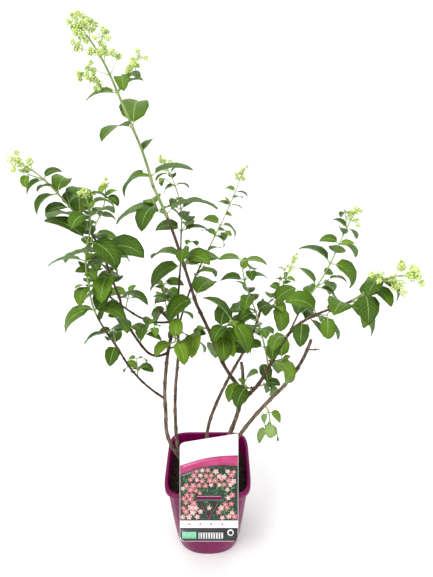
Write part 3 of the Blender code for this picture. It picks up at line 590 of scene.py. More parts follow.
def dress(piece, name, sharp=None):
    """Names a finished piece, shades it smooth and sets it on the plant's body."""
    piece.name = name
    piece.data.name = name
    piece.data.shade_smooth()
    if sharp is not None:
        piece.data.set_sharp_from_angle(angle=math.radians(sharp))
    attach(piece, "root")
    return piece


def play(draw, spread):
    """A random step to either side."""
    return draw.uniform(-spread, spread)


def parts_of(geometry, kind):
    return [part for part in geometry if isinstance(part, kind)]


def faces_of(points):
    """The faces that meet at points, each once."""
    return list(dict.fromkeys(face for point in points for face in point.link_faces))


def circle(bm, sides, place):
    """A round face's points and rim edges."""
    points = bmesh.ops.create_circle(bm, cap_ends=True, segments=sides, radius=1, matrix=place)["verts"]
    return points, list(dict.fromkeys(edge for point in points for edge in point.link_edges))


def drawn_out(bm, edges):
    """The points, edges and faces that come of extruding edges."""
    made = bmesh.ops.extrude_edge_only(bm, edges=edges)["geom"]
    return [parts_of(made, kind) for kind in (bmesh.types.BMVert, bmesh.types.BMEdge, bmesh.types.BMFace)]


def ring_places(points, directions, radii):
    """Places for the rings of a tube, each turned on from the one before with no twist."""
    side = Vector((0, 1, 0)) if abs(directions[0].x) > 0.8 else Vector((1, 0, 0))
    places = []
    for point, direction, radius in zip(points, directions, radii):
        side = (side - direction * side.dot(direction)).normalized()
        turn = Matrix((side, direction.cross(side), direction)).transposed().to_4x4()
        places.append(Matrix.Translation(point) @ turn @ Matrix.Scale(radius, 4))
    return places


def sweep(bm, places, sides):
    """A closed tube: a circle's edge extruded from place to place. It gives each ring's points and faces."""
    points, edges = circle(bm, sides, places[0])
    rings = [(points, list(points[0].link_faces))]
    for here, there in zip(places, places[1:]):
        points, edges, faces = drawn_out(bm, edges)
        bmesh.ops.transform(bm, matrix=there @ here.inverted(), verts=points)
        rings.append((points, faces))
    rings[-1][1].extend(bmesh.ops.edgeloop_fill(bm, edges=edges)["faces"])
    return rings


def slab(bm, columns, rows, top, under):
    """A thin closed sheet: two grids laid out by functions of the place on them, joined at the rim."""
    rims, sheets = [], []
    for place in (top, under):
        points = bmesh.ops.create_grid(bm, x_segments=columns, y_segments=rows, size=1)["verts"]
        sheets.append(faces_of(points))
        edges = dict.fromkeys(edge for face in sheets[-1] for edge in face.edges)
        rims += [edge for edge in edges if edge.is_boundary]
        for point in points:
            point.co = place(point.co.x, (point.co.y + 1) / 2)
    rim = bmesh.ops.bridge_loops(bm, edges=rims)["faces"]
    return sheets[0], sheets[1] + rim


# Finishes


def new_finish(name, roughness, specular=0.5):
    material = bpy.data.materials.new(name)
    material.use_nodes = True
    shader = material.node_tree.nodes["Principled BSDF"]
    shader.inputs["Roughness"].default_value = roughness
    shader.inputs["Specular IOR Level"].default_value = specular
    return material


def add_node(material, kind, links=(), **settings):
    """A node with its settings, and links given as (input, output socket or value)."""
    node = material.node_tree.nodes.new(kind)
    for key, value in settings.items():
        setattr(node, key, value)
    for key, source in links:
        if isinstance(source, bpy.types.NodeSocket):
            material.node_tree.links.new(source, node.inputs[key])
        else:
            node.inputs[key].default_value = source
    return node


def into_shader(material, socket, source):
    shader = material.node_tree.nodes["Principled BSDF"]
    material.node_tree.links.new(source, shader.inputs[socket])


def grain(material, scale, detail=3.0, stretch=(1, 1, 1), distortion=0.0):
    """A cloud pattern on the piece's own coordinates, stretched or squeezed along them."""
    place = add_node(material, "ShaderNodeTexCoord")
    links = [("Vector", place.outputs["Object"]), ("Scale", stretch)]
    mapped = add_node(material, "ShaderNodeMapping", links)
    links = [("Vector", mapped.outputs[0]), ("Scale", scale), ("Detail", detail), ("Distortion", distortion)]
    return add_node(material, "ShaderNodeTexNoise", links).outputs["Fac"]


def blend_colours(material, factor, first, second):
    """Two colours, or colour sockets, mixed by a factor."""
    colours = []
    for key, colour in ((6, first), (7, second)):
        colours.append((key, colour if isinstance(colour, bpy.types.NodeSocket) else (*colour, 1)))
    return add_node(material, "ShaderNodeMix", [(0, factor), *colours], data_type="RGBA").outputs[2]


def remap(material, value, low, high, bottom=0.0, top=1.0):
    links = [("Value", value), ("From Min", low), ("From Max", high), ("To Min", bottom), ("To Max", top)]
    return add_node(material, "ShaderNodeMapRange", links, interpolation_type="SMOOTHSTEP").outputs[0]


def maths(material, operation, *values):
    return add_node(material, "ShaderNodeMath", list(enumerate(values)), operation=operation).outputs[0]


def relief(material, height, strength, distance, under=None):
    links = [("Height", height), ("Strength", strength), ("Distance", distance)]
    if under is not None:
        links.append(("Normal", under))
    return add_node(material, "ShaderNodeBump", links).outputs[0]


def mottled(name, dark, light, scale, roughness, bump=0.2, bump_scale=400, stretch=(1, 1, 1)):
    """A finish whose colour wanders between two tones, with a fine relief."""
    material = new_finish(name, roughness)
    clouds = remap(material, grain(material, scale, 4, stretch), 0.35, 0.65)
    into_shader(material, "Base Color", blend_colours(material, clouds, dark, light))
    fine = grain(material, bump_scale, 3, stretch)
    into_shader(material, "Normal", relief(material, fine, bump, 0.0006))
    return material


def leaf_finish(name, dark, light, roughness, vein_light):
    """A leaf's face: pale sunk veins that branch from the midrib, with the blade bulging between them."""
    material = new_finish(name, roughness, specular=0.17)
    place = add_node(material, "ShaderNodeAttribute", attribute_name="leaf_place")
    split = add_node(material, "ShaderNodeSeparateXYZ", [(0, place.outputs["Vector"])])
    across_blade = maths(material, "ABSOLUTE", split.outputs[0])
    climb = maths(material, "MULTIPLY", across_blade, VEIN_SLANT)
    along = maths(material, "ADD", split.outputs[1], climb)
    between = maths(material, "PINGPONG", maths(material, "MULTIPLY", along, SIDE_VEINS), 0.5)
    side_vein = remap(material, between, 0.0, SIDE_VEIN_EDGE, 1.0, 0.0)
    midrib = remap(material, across_blade, *MIDRIB_EDGE, 1.0, 0.0)
    veins = maths(material, "MAXIMUM", maths(material, "MULTIPLY", side_vein, SIDE_VEIN_SHARE), midrib)
    clouds = remap(material, grain(material, 38, 3), 0.3, 0.7)
    tone = maths(material, "ADD", maths(material, "MULTIPLY", clouds, 0.45), split.outputs[2])
    blade = blend_colours(material, tone, dark, light)
    into_shader(material, "Base Color", blend_colours(material, veins, blade, vein_light))
    quilt = relief(material, remap(material, between, 0.0, 0.3), 0.55, 0.0012)
    into_shader(material, "Normal", relief(material, grain(material, 900, 2), 0.10, 0.0003, quilt))
    return material


def pot_finish():
    material = new_finish("pot_magenta", 0.34, specular=0.2)
    clouds = remap(material, grain(material, 14, 4), 0.3, 0.7)
    colour = blend_colours(material, clouds, (0.135, 0.0004, 0.050), (0.195, 0.0008, 0.076))
    scuff = remap(material, grain(material, 60, 6, (1, 1, 0.25), 0.6), 0.62, 0.78, 0.0, 0.18)
    into_shader(material, "Base Color", blend_colours(material, scuff, colour, (0.28, 0.006, 0.125)))
    into_shader(material, "Roughness", remap(material, grain(material, 90, 4), 0.3, 0.7, 0.28, 0.42))
    into_shader(material, "Normal", relief(material, grain(material, 1200, 2), 0.08, 0.0003))
    return material


# Pot and soil


def pot_half(z):
    share = z / POT_HEIGHT
    half = (BASE_SIDE + (2 * RIM_HALF - 2 * RIM_OVERHANG - BASE_SIDE) * share) / 2
    return half, BASE_SQUARENESS + (RIM_SQUARENESS - BASE_SQUARENESS) * share


def squared(half, squareness, angle):
    """A point on a squared ring."""
    c, s = math.cos(angle), math.sin(angle)
    reach = half / (abs(c) ** squareness + abs(s) ** squareness) ** (1 / squareness)
    return reach * c, reach * s


def pot_levels():
    """Half width, squareness and height of each ring: up the outside, over the rim and down the inside."""
    foot, foot_square = pot_half(0)
    recess = foot - 2 * FOOT_WIDTH
    levels = [(recess - FOOT_WIDTH, foot_square, FOOT_RECESS), (recess, foot_square, FOOT_RECESS)]
    levels += [(recess + FOOT_RECESS, foot_square, 0), (foot - BASE_ROUNDING, foot_square, 0)]
    for step in range(1, FOOT_ARC_STEPS + 1):
        turn = math.radians(90 - 90 / FOOT_ARC_STEPS * step)
        inset = BASE_ROUNDING * (1 - math.cos(turn))
        levels.append((foot - inset, foot_square, BASE_ROUNDING * (1 - math.sin(turn))))
    band = POT_HEIGHT - RIM_TOP_BAND
    levels += [(*pot_half(z), z) for z in np.linspace(WALL_START, band - WALL_END, WALL_RINGS)]
    out, drop = RIM_FILLET
    levels.append((pot_half(band)[0] + out, RIM_SQUARENESS, band - drop))
    rim = RIM_HALF - RIM_PLAY
    levels += [(rim - inset, RIM_SQUARENESS, band + rise) for inset, rise in RIM_LOWER]
    levels += [(rim - inset, RIM_SQUARENESS, POT_HEIGHT - drop) for inset, drop in RIM_UPPER]
    inner = RIM_HALF - RIM_OVERHANG - POT_WALL
    levels += [(inner + out, RIM_SQUARENESS, POT_HEIGHT - drop) for out, drop in RIM_INNER]
    for z in INNER_LEVELS:
        half, squareness = pot_half(z)
        levels.append((half - POT_WALL, squareness, z))
    levels.append((foot - POT_WALL - FLOOR_INSET, foot_square, POT_FLOOR))
    return levels


def pot_point(half, squareness, z, angle):
    """A ring's point, with faint upright ribs at the corners and shallow drain notches under the foot."""
    corner = abs(math.sin(2 * angle)) ** 4
    upright = WALL_START < z < POT_HEIGHT - RIM_TOP_BAND
    x, y = squared(half + upright * RIB_DEPTH * corner * math.cos(RIB_COUNT * angle), squareness, angle)
    beside = min(abs(x), abs(y))
    outside = half > pot_half(0)[0] - 2 * FOOT_WIDTH - FOOT_RECESS / 2
    if outside and z < NOTCH_HEIGHT and beside < NOTCH_WIDTH / 2:
        z = NOTCH_HEIGHT
    return Vector((x, y, z))


def make_pot():
    bm = bmesh.new()
    points, edges = circle(bm, POT_SEGMENTS, Matrix())
    for i, level in enumerate(pot_levels()):
        if i:
            points, edges, _ = drawn_out(bm, edges)
        for point in points:
            point.co = pot_point(*level, math.atan2(point.co.y, point.co.x))
    bmesh.ops.edgeloop_fill(bm, edges=edges)
    piece = gather("pot_shell", [bm], [pot_finish()], sharp=50)
    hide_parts("pot")


def soil_height(x, y):
    return SOIL_LEVEL + sum(noise.noise(Vector((x, y, 0)) * count) * height for count, height in SOIL_LUMPS)


def make_soil():
    half, squareness = pot_half(SOIL_LEVEL)

    def layer(top):
        def place(across_share, along):
            u, v = across_share, 2 * along - 1
            ring = (half - POT_WALL - GAP) * max(abs(u), abs(v))
            x, y = squared(ring, squareness, math.atan2(v, u))
            return Vector((x, y, soil_height(x, y) if top else SOIL_LEVEL - SOIL_UNDER))

        return place

    peat = mottled("peat", (0.006, 0.004, 0.003), (0.030, 0.018, 0.011), 160, 0.95, bump=0.9, bump_scale=700)
    bm = bmesh.new()
    slab(bm, SOIL_GRID, SOIL_GRID, layer(True), layer(False))
    piece = gather("peat_top", [bm], [peat])
    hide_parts("soil")
    draw = random.Random("crumbs")
    bm = bmesh.new()
    for _ in range(SOIL_CRUMBS):
        ring = half * CRUMB_REACH * math.sqrt(draw.random())
        x, y = squared(ring, squareness, play(draw, math.pi))
        size = draw.uniform(*CRUMB_SIZE)
        stretch = Matrix.Diagonal([draw.uniform(*span) for span in CRUMB_STRETCH] + [1])
        spin = Matrix.Rotation(draw.uniform(0, math.pi), 4, "Z")
        where = Matrix.Translation((x, y, soil_height(x, y) + size * CRUMB_RISE)) @ spin @ stretch
        bmesh.ops.create_icosphere(bm, subdivisions=1, radius=size, matrix=where)
    bark_bits = mottled("peat_crumb", (0.012, 0.007, 0.005), (0.060, 0.036, 0.022), 240, 0.95, bump=0.5)
    gather("peat_crumbs", [bm], [bark_bits])


# Label


def label_matrix():
    """Label coordinates (across, up its face, out of its face) to world, hung on the rim's front."""
    lean = math.radians(LABEL_LEAN)
    up = Vector((0, math.sin(lean), math.cos(lean)))
    out = Vector((0, -math.cos(lean), math.sin(lean)))
    rim_edge = Vector((LABEL_SHIFT, -RIM_HALF, POT_HEIGHT - HANG_DROP))
    hang = rim_edge + out * (GAP + LABEL_THICKNESS / 2)
    return Matrix.Translation(hang) @ Matrix((Vector((1, 0, 0)), up, out)).transposed().to_4x4()


LABEL = label_matrix()
HOOK_HALF = HOOK_WIDTH / 2
SLOT_TOP = (POT_HEIGHT + GAP + LABEL_THICKNESS / 2 - LABEL.translation.z) / math.cos(math.radians(LABEL_LEAN))
NOTCH_TOP = SLOT_TOP - SLOT_HEIGHT - TONGUE_GAP
NOTCH_TIP = NOTCH_TOP - TONGUE_DEPTH
TONGUE_HALF = HOOK_HALF * TONGUE_SHARE
PRINT_HALF = LABEL_WIDTH / 2 - PRINT_EDGE


def plate(name, corners, low, high, rounding=()):
    """A flat outline of the label, its corners rounded and given a thickness, as a placed object."""
    bm = bmesh.new()
    points = [bm.verts.new((x, y, low)) for x, y in corners]
    bm.faces.new(points)
    for point, radius in zip(points, rounding):
        bmesh.ops.bevel(
            bm,
            geom=[point],
            offset=radius,
            segments=CORNER_SEGMENTS,
            profile=0.5,
            affect="VERTICES",
            material=-1,
        )
    sheet = bmesh.ops.extrude_face_region(bm, geom=bm.faces[:])["geom"]
    bmesh.ops.translate(bm, vec=(0, 0, high - low), verts=parts_of(sheet, bmesh.types.BMVert))
    bmesh.ops.transform(bm, matrix=LABEL, verts=bm.verts[:])
    bmesh.ops.recalc_face_normals(bm, faces=bm.faces[:])
    return as_object(name, bm)


def cut_tongue(target):
    """Cuts the hook's slot and the tongue's notch through a plate."""
    slot = [(-HOOK_HALF, SLOT_TOP - SLOT_HEIGHT), (HOOK_HALF, SLOT_TOP - SLOT_HEIGHT)]
    slot += [(HOOK_HALF, SLOT_TOP), (-HOOK_HALF, SLOT_TOP)]
    step = NOTCH_TIP + TONGUE_CUT * 3
    inner = TONGUE_HALF * NOTCH_INNER
    notch = [(TONGUE_HALF, NOTCH_TOP), (inner, NOTCH_TOP), (TONGUE_CUT, step), (-TONGUE_CUT, step)]
    notch += [(-inner, NOTCH_TOP), (-TONGUE_HALF, NOTCH_TOP), (0, NOTCH_TIP)]
    cutters = [plate("label_cutter", outline, -CUTTER_DEPTH, CUTTER_DEPTH) for outline in (slot, notch)]
    for cutter in cutters:
        modifier = target.modifiers.new("Cut", "BOOLEAN")
        modifier.operation = "DIFFERENCE"
        modifier.object = cutter
    graph = bpy.context.evaluated_depsgraph_get()
    mesh = bpy.data.meshes.new_from_object(target.evaluated_get(graph))
    target.modifiers.clear()
    target.data = mesh
    for cutter in cutters:
        bpy.data.objects.remove(cutter)


def band_edge(x, start, climb, bow):
    """The height of an edge of the label's coloured band, which climbs to the right in a shallow curve."""
    share = x / LABEL_WIDTH + 0.5
    return start + climb * share + bow * math.sin(math.pi * share)


def band_foot(x):
    return band_edge(x, *BAND_FOOT)


def band_top(x):
    return band_edge(x, *BAND_TOP)


def label_foot(x):
    """The label's lower edge, a hair inside it, with its rounded corners."""
    radius = LABEL_CORNER
    past = max(0, abs(x) - (PRINT_HALF - radius))
    return -LABEL_BELOW_RIM + PRINT_EDGE + radius - math.sqrt(max(0, radius**2 - past**2))


def print_patch(bm, left, right, low, high, lift, ink, columns=16, rows=1):
    """A printed patch between two edges that are heights, or functions of the place across the label."""
    low_at = low if callable(low) else lambda x: low
    high_at = high if callable(high) else lambda x: high

    def layer(z):
        def place(across_share, along):
            x = left + (right - left) * (across_share + 1) / 2
            return LABEL @ Vector((x, low_at(x) + (high_at(x) - low_at(x)) * along, z))

        return place

    face = LABEL_THICKNESS / 2 + lift * PRINT
    top, rest = slab(bm, columns, rows, layer(face + PRINT), layer(face))
    for patch in top + rest:
        patch.material_index = INK_PLACES[ink]


def print_dot(bm, x, y, wide, high, spin, lift, ink, sides=12):
    """A printed round or long dot."""
    turn = Matrix.Rotation(spin, 4, "Z") @ Matrix.Diagonal((wide, high, PRINT, 1))
    where = LABEL @ Matrix.Translation((x, y, LABEL_THICKNESS / 2 + (lift + 0.5) * PRINT)) @ turn
    made = bmesh.ops.create_cone(
        bm, cap_ends=True, segments=sides, radius1=1, radius2=1, depth=1, matrix=where
    )["verts"]
    for face in faces_of(made):
        face.material_index = INK_PLACES[ink]


def clear_of_cuts(x, y, reach):
    """True where a printed dot keeps off the slot and the notch."""
    if abs(x) < HOOK_HALF + reach and SLOT_TOP - SLOT_HEIGHT - reach < y < SLOT_TOP + reach:
        return False
    if not NOTCH_TIP - reach < y < NOTCH_TOP + reach:
        return True
    middle = TONGUE_HALF * (1 + NOTCH_INNER) / 2 * (y - NOTCH_TIP) / TONGUE_DEPTH
    return abs(abs(x) - middle) > TONGUE_GAP + reach


def print_flower(bm, x, y, radius, ink, draw):
    """A plain round flower with a pale eye."""
    start = draw.uniform(0, math.pi)
    long, wide = PETAL_SIZE
    for k in range(PETALS):
        angle = start + 2 * math.pi * k / PETALS
        spot = (x + math.cos(angle) * radius * PETAL_REACH, y + math.sin(angle) * radius * PETAL_REACH)
        print_dot(bm, *spot, radius * long, radius * wide, angle, 4 + k * 0.6, ink)
    print_dot(bm, x, y, radius * FLOWER_EYE, radius * FLOWER_EYE, 0, 8, "cream", 8)


def make_label():
    half = LABEL_WIDTH / 2
    corners = [(half, -LABEL_BELOW_RIM), (half, LABEL_ABOVE_RIM)]
    corners += [(-half, LABEL_ABOVE_RIM - LABEL_TOP_RISE), (-half, -LABEL_BELOW_RIM)]
    rounding = [LABEL_CORNER * share for share in CORNER_SHARES]
    card = plate("label_card", corners, -LABEL_THICKNESS / 2, LABEL_THICKNESS / 2, rounding)
    cut_tongue(card)
    white = mottled("label_white", (0.80, 0.79, 0.79), (0.86, 0.85, 0.86), 30, 0.3, bump=0.05)
    card.data.materials.append(white)
    dress(card, "label_card", sharp=40)
    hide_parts("label")
    make_hook(white)
    make_print()


def make_hook(white):
    """The strip that leaves the slot's top edge, passes back over the rim and drops inside it."""
    inside = 2 * GAP + POT_WALL - pot_half(POT_HEIGHT - HOOK_DROP)[0]
    front = (LABEL @ Vector((0, SLOT_TOP, 0))).y
    middle = POT_HEIGHT + GAP + LABEL_THICKNESS / 2
    thin = LABEL_THICKNESS * HOOK_HALF_THICKNESS
    wide = HOOK_HALF - LABEL_THICKNESS
    bm = bmesh.new()
    block = Matrix.Diagonal((2 * wide, thin * 2, thin * 2, 1))
    place = Matrix.Translation((LABEL_SHIFT, front, middle)) @ block
    bmesh.ops.create_cube(bm, size=1, matrix=place)
    end = [face for face in bm.faces if face.normal.y > 0.9]
    centre = Vector((LABEL_SHIFT, inside - HOOK_BEND[0], middle - HOOK_BEND[1]))
    bmesh.ops.translate(bm, vec=(0, centre.y - front - thin, 0), verts=list(end[0].verts))
    swing = Matrix.Rotation(math.radians(-90 / HOOK_BEND_STEPS), 3, "X")
    for _ in range(HOOK_BEND_STEPS):
        end = parts_of(bmesh.ops.extrude_face_region(bm, geom=end)["geom"], bmesh.types.BMFace)
        bmesh.ops.rotate(bm, cent=centre, matrix=swing, verts=list(end[0].verts))
    end = parts_of(bmesh.ops.extrude_face_region(bm, geom=end)["geom"], bmesh.types.BMFace)
    bmesh.ops.translate(bm, vec=(0, 0, -HOOK_DROP + HOOK_TIP_RISE), verts=list(end[0].verts))
    gather("label_hook_strip", [bm], [white], sharp=40)


def make_print():
    """The printed face: a coloured band, a flowery picture and plain patches under a bare white head."""
    inks = [mottled("print_" + ink, *tones, 0.32, bump=0.03) for ink, tones in INKS.items()]
    ground = bmesh.new()
    print_patch(ground, -PRINT_HALF, PRINT_HALF, PICTURE_FOOT, band_foot, 0, "dark_green", 24, 12)
    ground_piece = gather("label_ground", [ground], inks)
    cut_tongue(ground_piece)
    dress(ground_piece, "label_ground")
    bm = bmesh.new()
    print_patch(bm, -PRINT_HALF, PRINT_HALF, band_foot, band_top, 0, "magenta", 24)
    print_patch(bm, -PRINT_HALF, PRINT_HALF, label_foot, STRIP_TOP, 0, "black", 40)
    for ink, patch in FOOT_PATCHES.items():
        print_patch(bm, *patch, 2, ink)
    for k in range(STRIPES):
        left = STRIPE_START + k * STRIPE_STEP
        print_patch(bm, left, left + STRIPE_WIDTH, *STRIPE_SPAN, 4, "black", 1)
    for layer, (ink, radius) in enumerate(ROUND_MARK_RADII.items()):
        print_dot(bm, *ROUND_MARK, radius, radius, 0, 2 + 2 * layer, ink, 24)
    for k in range(ROSE_DOTS):
        x, y = ROSE_DOT_START
        print_dot(bm, x + k * ROSE_DOT_STEP, y, ROSE_DOT_RADIUS, ROSE_DOT_RADIUS, 0, 2, "magenta", 16)
    print_picture(bm, random.Random("label picture"))
    gather("label_print", [bm], inks)


def print_picture(bm, draw):
    """Leaf spots strewn over the dark ground, then round flowers in loose rows."""
    for _ in range(LEAF_SPOTS):
        x = play(draw, PRINT_HALF - LEAF_SPOT_MARGIN)
        y = draw.uniform(PICTURE_FOOT + 0.005, 0.07)
        size = draw.uniform(*LEAF_SPOT_SIZE)
        if y < band_foot(x) - 0.005 and clear_of_cuts(x, y, size):
            print_dot(bm, x, y, size, size * 0.4, draw.uniform(0, math.pi), 1.5, "leaf_green", 8)
    for row in range(FLOWER_ROWS):
        for column in range(FLOWER_COLUMNS):
            x = FLOWER_START[0] + FLOWER_STEP[0] * (column + 0.5 * (row % 2)) + play(draw, FLOWER_PLAY)
            y = FLOWER_START[1] + FLOWER_STEP[1] * row + play(draw, FLOWER_PLAY)
            radius = draw.uniform(*FLOWER_RADIUS)
            inside = abs(x) < PRINT_HALF - radius and PICTURE_FOOT + radius < y < band_foot(x) - radius
            if inside and clear_of_cuts(x, y, radius) and draw.random() < FLOWER_CHANCE:
                print_flower(bm, x, y, radius, "rose" if draw.random() < ROSE_CHANCE else "pale_rose", draw)


# Limbs


def aim(heading, rise):
    h, r = math.radians(heading), math.radians(rise)
    return Vector((math.cos(r) * math.cos(h), math.cos(r) * math.sin(h), math.sin(r)))


def centre_line(limb, start, finer=1):
    """Evenly spaced points along a limb, and the direction at each."""
    count = max(2, round(limb.length / PATH_STEP)) * finer
    keys = np.linspace(0, 1, len(limb.headings))

    def direction(share):
        return aim(np.interp(share, keys, limb.headings), np.interp(share, keys, limb.rises))

    points = [start]
    fine = 4 // finer
    for i in range(count):
        step = Vector()
        for part in range(fine):
            step += direction((i + (part + 0.5) / fine) / count)
        points.append(points[-1] + step * (limb.length / count / fine))
    return points, [direction(i / count) for i in range(count + 1)]


def at_share(line, share):
    """The point and direction part of the way along a centre line."""
    points, directions = line
    place = min(share, 1) * (len(points) - 1)
    i = min(int(place), len(points) - 2)
    t = place - i
    return points[i].lerp(points[i + 1], t), directions[i].lerp(directions[i + 1], t).normalized()


def across(direction, turn):
    """A unit vector square to a direction, at a turn round it."""
    first = Vector((1, 0, 0))
    first = (first - direction * first.dot(direction)).normalized()
    second = direction.cross(first)
    angle = math.radians(turn)
    return first * math.cos(angle) + second * math.sin(angle)


def tube_rings(line, radii, sides, swell=0.0):
    points, directions = line
    rings = []
    count = len(points) - 1
    for i, (point, direction) in enumerate(zip(points, directions)):
        radius = radii[0] + (radii[1] - radii[0]) * i / count + swell
        rings.append([point + across(direction, 360 * k / sides) * radius for k in range(sides)])
    return rings


def lay_out(limbs, lines):
    """Adds each limb's centre line, from its foot on the soil or from its parent's."""
    for name, limb in limbs.items():
        if limb.parent is None:
            start = Vector((*FEET[name], SOIL_LEVEL + GAP))
        else:
            start, direction = at_share(lines[limb.parent], limb.share)
        if follows_on(limb):
            # Its foot is square to the tip that it follows, a gap away from it.
            points, directions = centre_line(limb, start + direction * GAP)
            lines[name] = points, [direction] + directions[1:]
        else:
            lines[name] = centre_line(limb, start)


def follows_on(limb):
    return limb.share == 1


def sides_of(name):
    if name in STEMS:
        return STEM_SIDES
    if name in SHOOTS:
        return TWIG_SIDES
    return BOUGH_SIDES


# Leaves and sprays


def leaf_place(leaf, share):
    """The point at a share of a leaf's spine, and the directions across the blade and out of its upper face.

    The spine is an arc in an upright plane: it leaves the shoot rising, and bends down by the leaf's arch.
    """
    heading = math.atan2(leaf.start.y, leaf.start.x)
    rise = math.asin(max(-1, min(1, leaf.start.z)))
    arch = math.radians(leaf.arch)
    turned = rise - arch * share
    forward = Vector((math.cos(heading), math.sin(heading), 0))
    level = Vector((-math.sin(heading), math.cos(heading), 0))
    out = (math.sin(rise) - math.sin(turned)) * leaf.length / arch
    climb = (math.cos(turned) - math.cos(rise)) * leaf.length / arch
    point = leaf.root + forward * out + Vector((0, 0, climb))
    direction = forward * math.cos(turned) + Vector((0, 0, math.sin(turned)))
    side = level * math.cos(leaf.roll) + direction.cross(level) * math.sin(leaf.roll)
    return point, side, direction.cross(side)


def leaf_rings(leaf, swell=0.0):
    """Three-cornered rings along a leaf's stalk and blade, flat above and keeled below, and its tip."""
    stations = [(0, STALK_RADIUS, STALK_RADIUS), (STALK_SHARE, STALK_RADIUS, STALK_RADIUS)]
    for share, half_width, keel in BLADE_STATIONS:
        stations.append((share, half_width * leaf.length, keel * leaf.length))
    rings = []
    for share, half_width, keel in stations:
        point, side, up = leaf_place(leaf, share)
        wide = side * (half_width + 2 * swell)
        rings.append((point - wide + up * swell, point + wide + up * swell, point - up * (keel + 2 * swell)))
    return rings, leaf_place(leaf, 1)[0]


def shell_tree(rings, tip=None):
    """A tree of the faces of a closed shell through rings of points, for overlap tests."""
    sides = len(rings[0])
    points = [tuple(point) for ring in rings for point in ring]
    faces = [tuple(reversed(range(sides)))]
    for i in range(len(rings) - 1):
        for k in range(sides):
            a, b = i * sides + k, i * sides + (k + 1) % sides
            faces.append((a, b, b + sides, a + sides))
    last = (len(rings) - 1) * sides
    if tip is None:
        faces.append(tuple(range(last, last + sides)))
    else:
        faces += [(last + k, last + (k + 1) % sides, len(points)) for k in range(sides)]
        points.append(tuple(tip))
    return BVHTree.FromPolygons(points, faces)


class Space:
    """What is already there: every limb, and each leaf, twig and flower branch as it is placed."""

    def __init__(self):
        self.limbs = {}
        self.placed = []

    def add_limb(self, name, rings):
        self.limbs[name] = shell_tree(rings)

    def free(self, rings, tip, own, leaf=True):
        """True where a shape has room. A leaf may touch its own shoot only at its root, and a twig or flower
        branch is kept off other shoots' pieces alone, because it is fused to its own."""
        whole = shell_tree(rings, tip)
        outer = shell_tree(rings[1:], tip)
        for name, tree in self.limbs.items():
            if name != own and whole.overlap(tree):
                return False
            if name == own and leaf and outer.overlap(tree):
                return False
        reach = (rings[0][0] - tip).length
        for owner, other, place, length in self.placed:
            near = (place - rings[0][0]).length < reach + length
            if near and (leaf or owner != own) and outer.overlap(other):
                return False
        return True

    def place(self, rings, tip, own):
        self.placed.append((own, shell_tree(rings[1:], tip), rings[0][0], (rings[0][0] - tip).length))


def grow_leaf(own, root, direction, turn, length, draw, space):
    """One leaf, turned a little where something is in its way, or none where it has no room."""
    lift = LEAF_LIFT + play(draw, LEAF_LIFT_PLAY)
    arch = LEAF_ARCH + play(draw, LEAF_ARCH_PLAY)
    roll = math.radians(play(draw, LEAF_ROLL_PLAY))
    length *= draw.uniform(*LEAF_LENGTH_PLAY)
    for turned, more in LEAF_TRIES:
        angle = math.radians(lift + more)
        start = direction * math.cos(angle) + across(direction, turn + turned) * math.sin(angle)
        leaf = Leaf(root, start.normalized(), roll, length, arch)
        rings, tip = leaf_rings(leaf, LEAF_CLEARANCE)
        if tip.z > SOIL_LEVEL and space.free(rings, tip, own):
            space.place(rings, tip, own)
            return [leaf]
    return []


def straight(root, end, way, clear):
    """A straight centre line with a middle point where it comes clear of what it grows from."""
    return [root, root.lerp(end, clear), end], [way, way, way]


def grow_twig(own, root, direction, turn, length, draw, space):
    """A side twig's centre line and the pair of leaves at its end, or nothing where it has no room."""
    angle = math.radians(TWIG_ANGLE + play(draw, TWIG_ANGLE_PLAY))
    way = direction * math.cos(angle) + across(direction, turn + play(draw, TWIG_TURN_PLAY)) * math.sin(angle)
    end = root + way * draw.uniform(*TWIG_LENGTH)
    line = straight(root, end, way, TWIG_CLEAR)
    rings = tube_rings(line, TWIG_RADII, TWIG_SIDES, swell=2 * LEAF_CLEARANCE)
    tip = end + way * LEAF_CLEARANCE
    if not space.free(rings, tip, own, leaf=False):
        return [], []
    space.place(rings, tip, own)
    leaves = []
    for opposite in (90, 270):
        side_turn = turn + opposite + play(draw, TWIG_TURN_PLAY)
        size = length * TWIG_LEAF * draw.uniform(*TWIG_LEAF_PLAY)
        leaves += grow_leaf(own, root.lerp(end, TWIG_NODE), way, side_turn, size, draw, space)
    return [line], leaves


def grow_leaves(name, lines, draw, space):
    """The leaves and the side twigs of a shoot, a crossed pair at each node."""
    leaves, twigs = [], []
    leafage = LEAFAGE[name]
    for share, blade, turn in zip(leafage.nodes, leafage.blades, leafage.turns):
        root, direction = at_share(lines[name], share)
        for opposite in (0, 180):
            angle = turn + opposite + play(draw, LEAF_TURN_PLAY)
            leaves += grow_leaf(name, root, direction, angle, blade * LEAF_SCALE, draw, space)
            if share < LAST_TWIG and draw.random() < TWIG_CHANCE:
                more = grow_twig(name, root, direction, angle, blade * LEAF_SCALE, draw, space)
                twigs += more[0]
                leaves += more[1]
    return leaves, twigs


